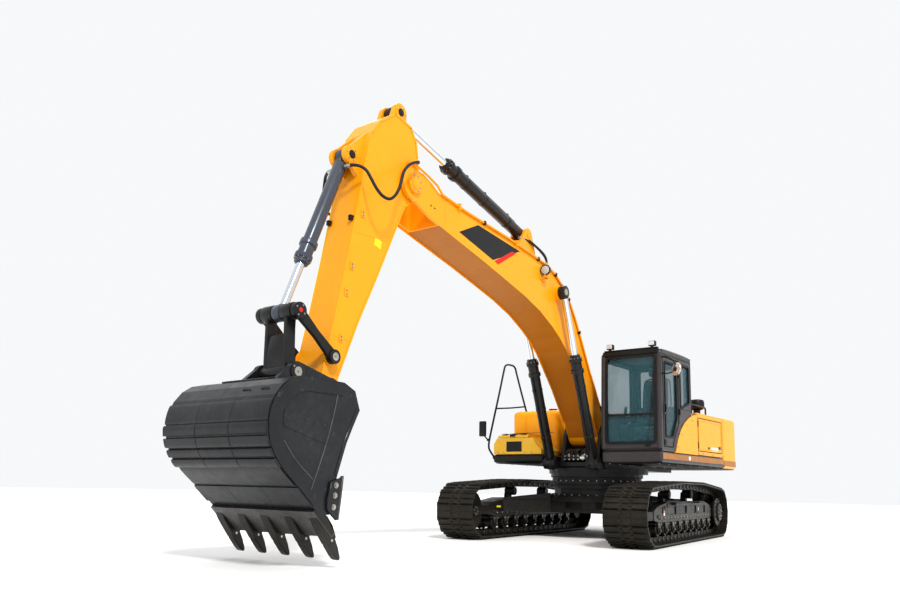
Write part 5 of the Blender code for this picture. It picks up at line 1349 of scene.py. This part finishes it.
# door: rolled edge, window gasket, handle, lock, grab handle; stays on the door
k = Kit(CAB, GSK, BLK, SILVER, ZINC)
dg = rounded([(.665, 1.60), (.665, 2.765), (.19, 2.765), (.19, 1.90), (.385, 1.60)], .045)
k.m = 1
ring(k, inset(dg, -.010), .030, 1.484, 1.4985)
ring(k, inset(rounded(door, .03), .002), .012, 1.480, 1.4935)
k.m = 2
k.prism(rounded([(.640, 1.475), (.715, 1.475), (.715, 1.560), (.640, 1.560)], .012), 1.4885, 1.500, bevel=.003)
k.tube(curve([(.700, 1.4935, 1.985), (.702, 1.516, 1.995), (.702, 1.518, 2.035), (.702, 1.516, 2.075), (.700, 1.4935, 2.085)], 5), .009, 10)
k.box((.684, 1.489, 1.93), (.722, 1.500, 1.975), .004)
k.m = 3
k.rod((.703, 1.499, 1.952), (.703, 1.503, 1.952), .009, 14)
k.m = 0
k.tube(curve([(.20, 1.490, 1.78), (.30, 1.492, 1.62), (.37, 1.490, 1.51)], 5), .008, 8)
k.done("cab_door_trim", "cab_door", slot="cab_grey_paint")

# operator's place: pedestal, consoles, levers, headrest, pedals, display stalk, wheelless controls
k = Kit(PLA, GRIP, LINER, SILVER, BLK, ZINC, GSK, ORANGE)
k.box((-.20, .78, 1.4705), (.22, 1.20, 1.600), .012)
for i in range(6):
    z = 1.602 + i * .0098
    k.box((-.185 + (i % 2) * .008, .795 + (i % 2) * .008, z), (.205 - (i % 2) * .008, 1.185 - (i % 2) * .008, z + .0095), .003)
for s in (-1, 1):
    yc = .99 + s * .34
    k.m = 0
    k.prism([(-.20, 1.58), (.24, 1.58), (.34, 1.68), (.34, 1.80), (.20, 1.865), (-.20, 1.895)], yc - .072, yc + .072, bevel=.012)
    k.m = 4
    k.prism([(-.20, 1.897), (.04, 1.882), (.04, 1.912), (-.18, 1.925)], yc - .060, yc + .060, bevel=.008)
    k.m = 0
    k.box((-.14, yc - .05, 1.4705), (.10, yc + .05, 1.585), .008)
    k.m = 6
    k.lathe([(.046, 1.800 - 1.8), (.040, .018), (.034, .022), (.030, .040), (.022, .046), (.016, .075)], (.235, yc, 1.845), (.12, 0, 1), 20)
    k.m = 1
    k.tube(curve([(.240, yc, 1.885), (.255, yc, 1.965), (.262, yc - s * .004, 2.02), (.266, yc - s * .012, 2.075), (.262, yc - s * .018, 2.132)], 5),
           [.010, .010, .011, .012, .013, .014, .016, .019, .022, .0235, .024, .0235, .0225, .0215, .022, .023, .0235, .0235, .022, .018, .008], 14)
    k.m = 3
    k.rod((.283, yc - s * .014, 2.105), (.288, yc - s * .014, 2.106), .006, 10)
# switches on the right console
k.m = 5
for i in range(4):
    k.box((.060 + i * .030, .64, 1.858 + .002 * (3 - i)), (.082 + i * .030, .662, 1.884 + .002 * (3 - i)), .002)
# travel pedals with their levers
for y in (.915, 1.065):
    k.m = 4
    k.prism([(.48, 1.515), (.62, 1.575), (.626, 1.560), (.486, 1.500)], y - .045, y + .045, bevel=.004)
    k.m = 1
    k.tube(curve([(.53, y, 1.53), (.535, y, 1.62), (.50, y, 1.80), (.455, y, 1.93)], 5), .009, 8)
    k.lathe([(.012, 0), (.018, .010), (.019, .060), (.012, .075)], (.457, y, 1.915), (-.36, 0, 1), 14)
# the display's stalk at the front right
k.m = 4
k.tube(curve([(.66, .71, 1.4705), (.66, .71, 1.60), (.655, .712, 1.70), (.645, .715, 1.72)], 4), .016, 10)
k.done("operator_controls", "house", slot="interior_plastic", replaces=("operator_station",))


def cushion(node, cap, shrink, seam_z=None):
    """A foam pad: the plain solid is inflated as cloth and covered with the seat fabric."""
    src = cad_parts[node]
    me = src.data.copy()
    ob = bpy.data.objects.new(node + "_cover", me)
    bpy.context.scene.collection.objects.link(ob)
    ob.matrix_world = src.matrix_world.copy()
    lo, hi = (Vector(c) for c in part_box(node))
    mid = (lo + hi) / 2
    for v in me.vertices:
        v.co = mid + Vector(((v.co - mid)[i] * (1 - shrink / max(1e-3, (hi - lo)[i] / 2)) for i in range(3)))
    bpy.context.view_layer.objects.active = ob
    rm = ob.modifiers.new("remesh", 'REMESH')
    rm.mode = 'VOXEL'
    rm.voxel_size = 0.016
    dg_ = bpy.context.evaluated_depsgraph_get()
    new = bpy.data.meshes.new_from_object(ob.evaluated_get(dg_))
    ob.modifiers.clear()
    ob.data = new
    rest = [v.co.copy() for v in new.vertices]
    cl = ob.modifiers.new("cloth", 'CLOTH')
    cl.settings.use_pressure = True
    cl.settings.uniform_pressure_force = 4.0
    cl.settings.effector_weights.gravity = 0.0
    cl.settings.mass = 0.3
    cl.settings.tension_stiffness = 25
    cl.point_cache.frame_start = 1
    cl.point_cache.frame_end = 20
    for f in range(1, 21):
        bpy.context.scene.frame_set(f)
    ev = bpy.data.meshes.new_from_object(ob.evaluated_get(bpy.context.evaluated_depsgraph_get()))
    moved = [v.co.copy() for v in ev.vertices]
    ob.modifiers.clear()
    for v, a, b in zip(ob.data.vertices, rest, moved):
        d = b - a
        if d.length > cap:
            d = d.normalized() * cap
        v.co = a + d
    bpy.data.meshes.remove(ev)
    bpy.context.scene.frame_set(1)
    sb = ob.modifiers.new("subdivide", 'SUBSURF')
    sb.levels = sb.render_levels = 1
    fin = bpy.data.meshes.new_from_object(ob.evaluated_get(bpy.context.evaluated_depsgraph_get()))
    ob.modifiers.clear()
    ob.data = fin
    fin.materials.clear()
    fin.materials.append(FAB)
    fin.shade_smooth()
    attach(ob, "house")
    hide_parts(node)
    return ob


cushion("seat_cushion", .016, .012)
cushion("seat_back", .014, .010)
k = Kit(FAB, PLA, SILVER, GSK)
k.m = 2
for y in (.935, 1.045):
    k.tube(curve([(-.205, y, 2.56), (-.222, y, 2.66), (-.225, y, 2.70)], 4), .007, 8)
k.m = 1
k.tube(curve([(-.212, .755, 1.83), (-.235, .752, 2.10), (-.255, .762, 2.45), (-.262, .80, 2.60), (-.262, .99, 2.632), (-.262, 1.18, 2.60), (-.255, 1.218, 2.45),
              (-.235, 1.228, 2.10), (-.212, 1.225, 1.83)], 5), .012, 8)
k.m = 2
k.tube(curve([(-.18, .76, 1.66), (.24, .76, 1.66)], 2), .009, 8)
k.tube(curve([(-.18, 1.22, 1.66), (.24, 1.22, 1.66)], 2), .009, 8)
for s in (-1, 1):
    k.m = 1
    k.tube(curve([(-.20, .99 + s * .262, 2.00), (-.10, .99 + s * .275, 2.03), (.05, .99 + s * .275, 2.035), (.12, .99 + s * .270, 2.03)], 4), .020, 10)
k.m = 0
head = Kit(FAB)
k.box((-.262, .87, 2.655), (-.185, 1.11, 2.815), .032, 4)
k.done("seat_frame_and_headrest", "house", slot="interior_plastic")


# ------------------------------------------------------------ house
k = Kit(BODY, BLK, SKIRT, WHT, GSK, ZINC, ORANGE, CAB, SILVER, PLA, REDL)
# orange-brown stripe along the skirt, continued on the counterweight; side trim
for s in (1, -1):
    o = lambda a, b: sorted((s * a, s * b))
    k.m = 2
    k.prism([(.80, 1.262), (.80, 1.350), (-1.93, 1.350), (-1.93, 1.262)] if s == 1 else [(.86, 1.255), (.86, 1.330), (-1.93, 1.330), (-1.93, 1.255)], *o(1.4945, 1.4985))
    k.m = 3
    k.box((-.325, o(1.4965, 1.5015)[0], 1.275), (-.245, o(1.4965, 1.5015)[1], 1.335), .002)
    # seams and fasteners of the housing
    k.m = 4
    for x in (-.690, -1.905):
        k.box((x - .004, o(1.4935, 1.4965)[0], 1.385), (x + .004, o(1.4935, 1.4965)[1], 2.045))
    k.m = 5
    for x in (-1.88, -1.40, -.92):
        k.bolt((x, s * 1.4955, 1.405), (0, s, 0), .008, .005)
# side doors' own seams, louvres and latches ride on the doors (below)
# counterweight: lifting eyes, round plugs, rear reflectors, cast parting line
k.m = 4
cw = [(-2.35, 1.4955)] + [(-2.52 - .4355 * math.sin(math.radians(a)), 1.06 + .4355 * math.cos(math.radians(a))) for a in range(22, 91, 11)]
k.m = 0
for s in (1, -1):
    k.lathe([(.070, 0), (.070, .010), (.055, .022), (.020, .026)], (-2.45, s * 1.05, 2.089), (0, 0, 1), 28)
    k.m = 5
    k.tube(curve([(-2.66, s * .55 - .06, 2.085), (-2.66, s * .55 - .055, 2.135), (-2.66, s * .55, 2.158), (-2.66, s * .55 + .055, 2.135), (-2.66, s * .55 + .06, 2.085)], 6), .014, 10)
    k.m = 1
    k.prism(rounded([(-.30 + s * 1.0 - .12 + .30, 1.36), (s * 1.0 + .12, 1.36), (s * 1.0 + .12, 1.43), (s * 1.0 - .12, 1.43)], .015), -2.975, -2.935, 'x', bevel=.004) if False else None
    k.m = 10
    a, b = sorted((s * .62, s * .78))
    k.box((-3.0735, a, 1.40), (-3.0550, b, 1.455), .003)
    k.m = 0
k.m = 4
k.box((-3.0765, -.45, 1.300), (-3.0735, .45, 1.306))
# bolts on the housing's roof; the white blank plate on the left door, the black blank louvre plate by the tank and the
# roof rails are drawn elsewhere
k.m = 5
for x in (-1.75, -.80):
    for y in (-1.2, 1.2):
        k.bolt((x, y, 2.0705), (0, 0, 1), .011, .007)
# housing roof edge roll
k.m = 0
for s in (1, -1):
    k.tube([Vector((-1.94, s * 1.480, 2.066)), Vector((-.66, s * 1.480, 2.066))], .012, 8)
# cowl behind the cab: fastener row and gasket
k.m = 4
k.tube(curve([(.300, 1.4965, 1.39), (.258, 1.4965, 1.475), (.185, 1.4965, 1.600), (.055, 1.4965, 1.750), (-.103, 1.4965, 1.868), (-.303, 1.4965, 1.966), (-.50, 1.4965, 2.025), (-.65, 1.4965, 2.045)], 4), .005, 6)
k.m = 5
for p in ((.19, 1.50), (.02, 1.70), (-.20, 1.86), (-.45, 1.96)):
    k.bolt((p[0], 1.4955, p[1] - .03), (0, 1, 0), .009, .006)
# air intake pre-cleaner on the housing's roof, behind the cab
k.m = 1
k.lathe([(.060, 0), (.060, .13), (.110, .15), (.125, .17), (.125, .29), (.115, .31), (.070, .325), (.0, .33)], (-1.55, 1.18, 2.070), (0, 0, 1), 36)
k.box((-1.66, 1.06, 2.0705), (-1.44, 1.30, 2.090), .006)
for i in range(18):
    q = 2 * math.pi * i / 18
    k.box((-.004, .1225, .185), (.004, .1290, .275), .001, at=Matrix.Translation((-1.55, 1.18, 2.070)) @ Matrix.Rotation(q, 4, 'Z'))
# exhaust outlet on the right, ahead of the counterweight
k.m = 1
k.lathe([(.095, 0), (.095, .012), (.062, .020), (.060, .22), (.064, .23)], (-1.62, -1.16, 2.0705), (0, 0, 1), 30)
k.tube(curve([(-1.62, -1.16, 2.27), (-1.62, -1.16, 2.33), (-1.655, -1.16, 2.38), (-1.71, -1.16, 2.405)], 6), .058, 22)
# roof grab rails with their feet
k.m = 1
for y in (1.38, -1.38):
    k.tube(curve([(-.74, y, 2.070), (-.74, y, 2.19), (-.78, y, 2.225), (-.90, y, 2.228), (-1.25, y, 2.228), (-1.37, y, 2.225), (-1.41, y, 2.19), (-1.41, y, 2.070)], 5), .014, 10)
    for x in (-.74, -1.41):
        k.lathe([(.034, 0), (.034, .006), (.018, .010)], (x, y, 2.0705), (0, 0, 1), 18)
# perforated walkway plates beside the hood
for y0, y1 in ((.98, 1.34), (-1.34, -.98)):
    k.m = 1
    k.box((-1.30 if y0 > 0 else -1.42, y0, 2.0705), (-.80, y1, 2.0765), .002)
    k.m = 5
    for i in range(9):
        for j in range(5):
            k.rod((-.86 - i * .050, y0 + .05 + j * .065, 2.0765), (-.86 - i * .050, y0 + .05 + j * .065, 2.0815), .013, 8, .009)
k.done("house_body_detail", "house", slot="yellow_paint")


k = Kit(surface("belly_dark", (0.022, 0.017, 0.012), 0.6, vary=0.25, dirt=(0.06, 0.045, 0.03), dirt_amount=0.6, dirt_scale=4.0, bump=0.1), ZINC, SKIRT, BLK)
for s in (1, -1):
    a, b = sorted((s * .56, s * 1.475))
    for x0, x1 in ((-1.90, -.98), (-.96, -.06), (-.04, .825)):
        k.m = 0
        k.box((x0, a, 1.1925), (x1, b, 1.2010), .003)
        k.m = 1
        for x in (x0 + .05, (x0 + x1) / 2, x1 - .05):
            for y in (a + .05, b - .05):
                k.bolt((x, y, 1.1925), (0, 0, -1), .010, .007)
    k.m = 0
half = [(-1.956, 1.495), (-2.10, 1.495), (-2.35, 1.495)] + arc((-2.52, 1.06), .435, 90, 175, 16) + [(-3.040, .55), (-3.075, 0.0)]
for mm, z0, d0, z1, d1 in ((2, 1.246, .0035, 1.335, .0035), (3, 1.1870, -.038, 1.2445, .0035)):
    k.m = mm
    rows = []
    for i, p in enumerate(half):
        q, r = half[max(i - 1, 0)], half[min(i + 1, len(half) - 1)]
        t = Vector((r[0] - q[0], r[1] - q[1])).normalized()
        nn = Vector((t.y, -t.x))
        rows.append([(p[0] + nn.x * d, max(p[1] + nn.y * d, 0.0), z) for z, d in ((z0, d0 - .006), (z0, d0), (z1, d1), (z1, d1 - .006))])
    for s in (1, -1):
        v = [(x, s * y, z) for row in rows for x, y, z in row]
        fs = [(4 * i + j, 4 * i + (j + 1) % 4, 4 * i + 4 + (j + 1) % 4, 4 * i + 4 + j) for i in range(len(rows) - 1) for j in range(4)]
        k.raw(v, fs + [(0, 1, 2, 3)])
k.m = 0
low = [(p[0] + (.045 if i > 3 else 0), p[1] * .968) for i, p in enumerate(half)]
k.prism([(x, -y) for x, y in low] + [(x, y) for x, y in reversed(low)][1:], 1.1845, 1.1895, 'z')
k.done("belly_and_skirt", "house", slot="black_paint")


def side_door(tag, s, body):
    o = lambda a, b: sorted((s * a, s * b))
    k = Kit(BODY, GSK, BLK, ZINC, WHT)
    face = 1.4945
    k.m = 1
    ring(k, rounded([(-1.863, 1.447), (-.707, 1.447), (-.707, 1.993), (-1.863, 1.993)], .03), .007, *o(face - .001, face + .002))
    k.m = 0
    ring(k, rounded([(-1.835, 1.475), (-.735, 1.475), (-.735, 1.965), (-1.835, 1.965)], .04), .016, *o(face - .001, face + .0045))
    k.m = 2
    for x0, x1 in ((-1.76, -1.36), (-1.22, -.82)) if s == -1 else ():
        for i in range(9):
            z = 1.60 + i * .036
            k.prism([(x0, z), (x1, z), (x1, z + .007), (x0, z + .007)], *o(face - .001, face + .001))
        k.m = 0
        for i in range(9):
            z = 1.607 + i * .036
            a, b = sorted((s * (face), s * (face + .010)))
            k.raw([(x0, s * face, z), (x1, s * face, z), (x1, s * (face + .009), z + .004), (x0, s * (face + .009), z + .004), (x0, s * face, z + .022), (x1, s * face, z + .022)],
                  [(0, 1, 2, 3), (3, 2, 5, 4), (0, 3, 4), (1, 5, 2), (0, 4, 5, 1)])
        k.m = 2
    k.prism(rounded([(-1.800, 1.515), (-1.690, 1.515), (-1.690, 1.560), (-1.800, 1.560)], .010), *o(face, face + .008), bevel=.003)
    k.m = 3
    k.rod((-1.745, s * (face + .006), 1.5375), (-1.745, s * (face + .012), 1.5375), .012, 16)
    k.m = 2
    for z in (1.54, 1.90):
        k.rod((-.703, s * 1.499, z - .05), (-.703, s * 1.499, z + .05), .0075, 12)
    if s == 1:
        k.m = 4
        k.prism([(-1.66, 1.468), (-1.32, 1.468), (-1.32, 1.535), (-1.66, 1.535)], *o(face, face + .0035), bevel=.001)
        k.m = 2
        k.prism([(-1.24, 1.478), (-1.16, 1.478), (-1.16, 1.530), (-1.24, 1.530)], *o(face, face + .003), bevel=.001)
    k.done(tag + "_side_door_trim", body, slot="yellow_paint")


side_door("left", 1, "left_side_door")
side_door("right", -1, "right_side_door")

# hood: pressed ribs, grille of slats, latches
k = Kit(BODY, BLK, GSK, ZINC)
k.m = 0
for y in (-.70, -.35, .35, .70):
    k.box((-1.78, y - .030, 2.1195), (-1.30, y + .030, 2.132), .008)
k.m = 1
k.box((-1.22, -.62, 2.1200), (-.80, .62, 2.1245), .002)
k.m = 0
for i in range(16):
    x = -1.205 + i * .0262
    k.box((x, -.60, 2.1245), (x + .012, .60, 2.1345), .002)
k.m = 1
for y in (-.78, .78):
    k.box((-1.855, y - .030, 2.080), (-1.840, y + .030, 2.112), .003)
k.tube(curve([(-1.70, -.12, 2.1195), (-1.70, -.12, 2.152), (-1.70, 0, 2.160), (-1.70, .12, 2.152), (-1.70, .12, 2.1195)], 5), .009, 8)
k.done("engine_hood_trim", "engine_hood", slot="yellow_paint")

# roof hatch: seal, handle
k = Kit(CAB, GSK, BLK)
k.m = 1
hat = rounded([(-.085, .735), (.485, .735), (.485, 1.255), (-.085, 1.255)], .04)
ha, hb = hat, inset(hat, .014)
for i in range(len(hat)):
    j = (i + 1) % len(hat)
    v = [(p[0], p[1], z) for z in (2.9680, 2.9735) for p in (ha[i], ha[j], hb[j], hb[i])]
    k.raw(v, [(0, 1, 2, 3), (7, 6, 5, 4), (0, 4, 5, 1), (2, 6, 7, 3), (1, 5, 6, 2), (3, 7, 4, 0)])
k.m = 2
k.tube(curve([(.44, .93, 2.969), (.44, .93, 2.990), (.44, .995, 2.994), (.44, 1.06, 2.990), (.44, 1.06, 2.969)], 4), .008, 8)
k.m = 0
for y in (.86, 1.13):
    k.box((.02, y - .018, 2.9685), (.40, y + .018, 2.9760), .005)
k.done("roof_hatch_trim", "roof_hatch", slot="cab_grey_paint")

# right side: tank with its seams, filler and tread strips; toolbox with tread strips; handrail
k = Kit(BODY, BLK, GSK, ZINC, YEL_PAINTED_HIGHLIGHT, WHT, CAB)
k.m = 2
k.box((-.165, -1.4775, 1.40), (-.159, -1.4740, 2.06))
k.box((.2985, -1.40, 1.74), (.3015, -.64, 1.746))
k.m = 0
for y in (-1.20, -.84):
    k.box((.2990, y - .012, 1.78), (.3060, y + .012, 2.05), .004)
k.m = 1
k.lathe([(.078, 0), (.078, .010), (.070, .014), (.070, .050), (.064, .056), (.030, .060)], (-.05, -.85, 2.129), (0, 0, 1), 30)
for i in range(12):
    q = 2 * math.pi * i / 12
    k.box((.068, -.008, .016), (.075, .008, .050), .002, at=Matrix.Translation((-.05, -.85, 2.129)) @ Matrix.Rotation(q, 4, 'Z'))
k.m = 1
for z in (1.58, 1.80, 2.02):
    k.box((.3005, -1.44, z - .008), (.318, -1.12, z + .008), .003) if False else None
# tread strips on the tank roof
for y in (-1.36, -1.24, -1.12):
    k.box((-.52, y - .022, 2.1300), (.22, y + .022, 2.1345), .002)
    k.m = 3
    for i in range(14):
        k.rod((-.49 + i * .052, y, 2.1345), (-.49 + i * .052, y, 2.1385), .012, 8, .008)
    k.m = 1
# black blank louvre plate on the front of the toolbox with slots and bolts, and a step edge
k.m = 1
k.box((.9035, -1.22, 1.39), (.9095, -.92, 1.56), .003)
k.m = 2
for i in range(6):
    k.box((.9090, -1.20, 1.405 + i * .025), (.9105, -.94, 1.415 + i * .025))
k.m = 3
for y in (-1.40, -1.28, -.86, -.74):
    k.bolt((.9052, y, 1.375), (1, 0, 0), .008, .006)
# the step edge takes the brighter yellow, a painted highlight
k.m = 4
k.box((.8950, -1.474, 1.352), (.9085, -.546, 1.366), .003)
k.done("right_side_detail", "house", slot="yellow_paint")

k = Kit(YEL_PAINTED_HIGHLIGHT, BLK, ZINC)
k.m = 1
for i in range(3):
    k.box((.345, -1.43 + i * .185, 1.7000), (.755, -1.31 + i * .185, 1.7050), .002)
k.m = 2
for i in range(3):
    for j in range(9):
        k.rod((.375 + j * .044, -1.37 + i * .185, 1.705), (.375 + j * .044, -1.37 + i * .185, 1.710), .013, 8, .009)
k.m = 1
k.box((.792, -1.22, 1.650), (.800, -1.12, 1.690), .003)
k.done("toolbox_lid_trim", "toolbox_lid", slot="bright_yellow_paint")

RAIL = [(.86, -1.4957, 1.300), (.864, -1.520, 1.330), (.868, -1.585, 1.42), (.868, -1.605, 1.48), (.862, -1.598, 1.60), (.838, -1.53, 1.95), (.70, -1.512, 2.40), (.56, -1.50, 2.85),
        (.52, -1.5, 2.93), (.45, -1.5, 2.965), (.34, -1.5, 2.972), (.24, -1.5, 2.965), (.18, -1.499, 2.92), (.155, -1.495, 2.85), (.09, -1.43, 2.50), (.02, -1.36, 2.14)]
k = Kit(BLK, ZINC)
k.tube(curve(RAIL, 6), .0165, 14)
k.tube([Vector((.775, -1.521, 2.15)), Vector((.40, -1.455, 2.19)), Vector((.045, -1.388, 2.24))], .0135, 12)
k.lathe([(.036, 0), (.036, .008), (.020, .012)], (.86, -1.4965, 1.300), (0, -1, 0), 20)
k.lathe([(.036, 0), (.036, .008), (.020, .012)], (.02, -1.36, 2.1305), (0, 0, 1), 20)
k.m = 1
for q in (0, 2.1, 4.2):
    k.bolt((.86 + .026 * math.cos(q), -1.5035, 1.300 + .026 * math.sin(q)), (0, -1, 0), .005, .004)
k.done("handrail_finish", "house", replaces=("handrail",))

# right mirror: rounded shell with its glass
k = Kit(BLK, MIRR, ZINC)
k.box((.912, -1.758, 1.657), (.958, -1.622, 1.923), .018, 3)
k.m = 1
k.box((.908, -1.746, 1.670), (.914, -1.634, 1.910), .004)
k.m = 0
k.tube(curve([(.893, -1.610, 1.600), (.910, -1.638, 1.635), (.930, -1.670, 1.680)], 5), .0115, 10)
k.lathe([(.024, -.02), (.024, .02)], (.890, -1.607, 1.600), (0, 0, 1), 16)
k.done("right_mirror_finish", "house", replaces=("right_mirror",))

# ------------------------------------------------------------ hoses at the boom's foot
k = Kit(RUB, ZINC, WHT, BLK, SKIRT, GSK)
random.seed(11)
for i in range(11):
    y = -.235 + .047 * i
    lift = (.0, .022, .010, .028)[i % 4]
    px = .585 + .050 * (i % 3)
    port = Vector((px, y, 1.322))
    p = curve([port, port + Vector((.0, 0, .030)), port + Vector((.006, 0, .062)), Vector((px - .035, y, 1.398 + lift)), Vector((px - .12, y * .98, 1.405 + lift)),
               Vector((.30, y * .95, 1.392 + lift)), Vector((.14, y * .92, 1.368 + lift)), Vector((.0, y * .90, 1.335)), Vector((-.08, y * .88, 1.296))], 6)
    k.m = 0
    k.tube(p, .0175, 12)
    k.m = 1
    k.tube(p[:8], .0212, 12)
    k.rod(p[0] - Vector((0, 0, .002)), p[0] + Vector((0, 0, .018)), .026, 6)
    if i % 2:
        k.m = 0
        q = curve([Vector((.700, y, 1.312)), Vector((.722, y + .006, 1.350)), Vector((.716, y + .020, 1.392)), Vector((.680, y + .040, 1.412)), Vector((.640, y + .060, 1.392)), Vector((.62, y + .066, 1.352))], 5)
        k.tube(q, .0115, 10)
        k.m = 1
        k.tube(q[:4], .0150, 10)
        k.tube(q[-4:], .0150, 10)
k.m = 3
k.box((.30, -.262, 1.366), (.345, .262, 1.378), .004)
for y in (-.235, .235):
    k.box((.305, y - .010, 1.300), (.340, y + .010, 1.372), .003)
k.m = 2
k.box((.7305, .07, 1.268), (.7335, .15, 1.306), .001)
k.m = 1
for y in (-.20, -.12, -.04, .04, .12, .20):
    k.bolt((.7305, y, 1.262), (1, 0, 0), .010, .008)
    k.bolt((.7305, y, 1.315), (1, 0, 0), .008, .006)
for y in (-.43, .43):
    for z in (1.14, 1.20, 1.26):
        k.bolt((.7355, y, z), (1, 0, 0), .012, .010)
k.done("valve_hose_cluster", "house", slot="hose_rubber")

# hoses that rise on the boom's back from its foot to the pipes
k = Kit(RUB, ZINC, BLK)
for i, y in enumerate((-.195, -.14, -.085, .085, .14, .195)):
    d = .010 * (i % 2)
    p = curve([(.10 - d, y, 1.86), (.115 - d, y, 1.98), (.20 - d, y, 2.10), (.325 - d, y * 1.02, 2.235), (.47 - d, y * 1.05, 2.44), (.60 - d, y * 1.08, 2.60)], 6)
    k.m = 0
    k.tube(p, .0175, 12)
    k.m = 1
    k.tube(p[-7:], .0212, 12)
    k.tube(p[:5], .0212, 12)
    k.rod(p[-1], p[-1] + (p[-1] - p[-2]).normalized() * .035, .0265, 6)
k.m = 2
k.prism([(.335, 2.115), (.375, 2.175), (.352, 2.190), (.312, 2.130)], -.225, .225, bevel=.003)
k.prism([(.560, 2.435), (.630, 2.540), (.600, 2.560), (.530, 2.455)], -.235, .235, bevel=.004)
k.done("boom_foot_hoses", "boom", slot="hose_rubber")
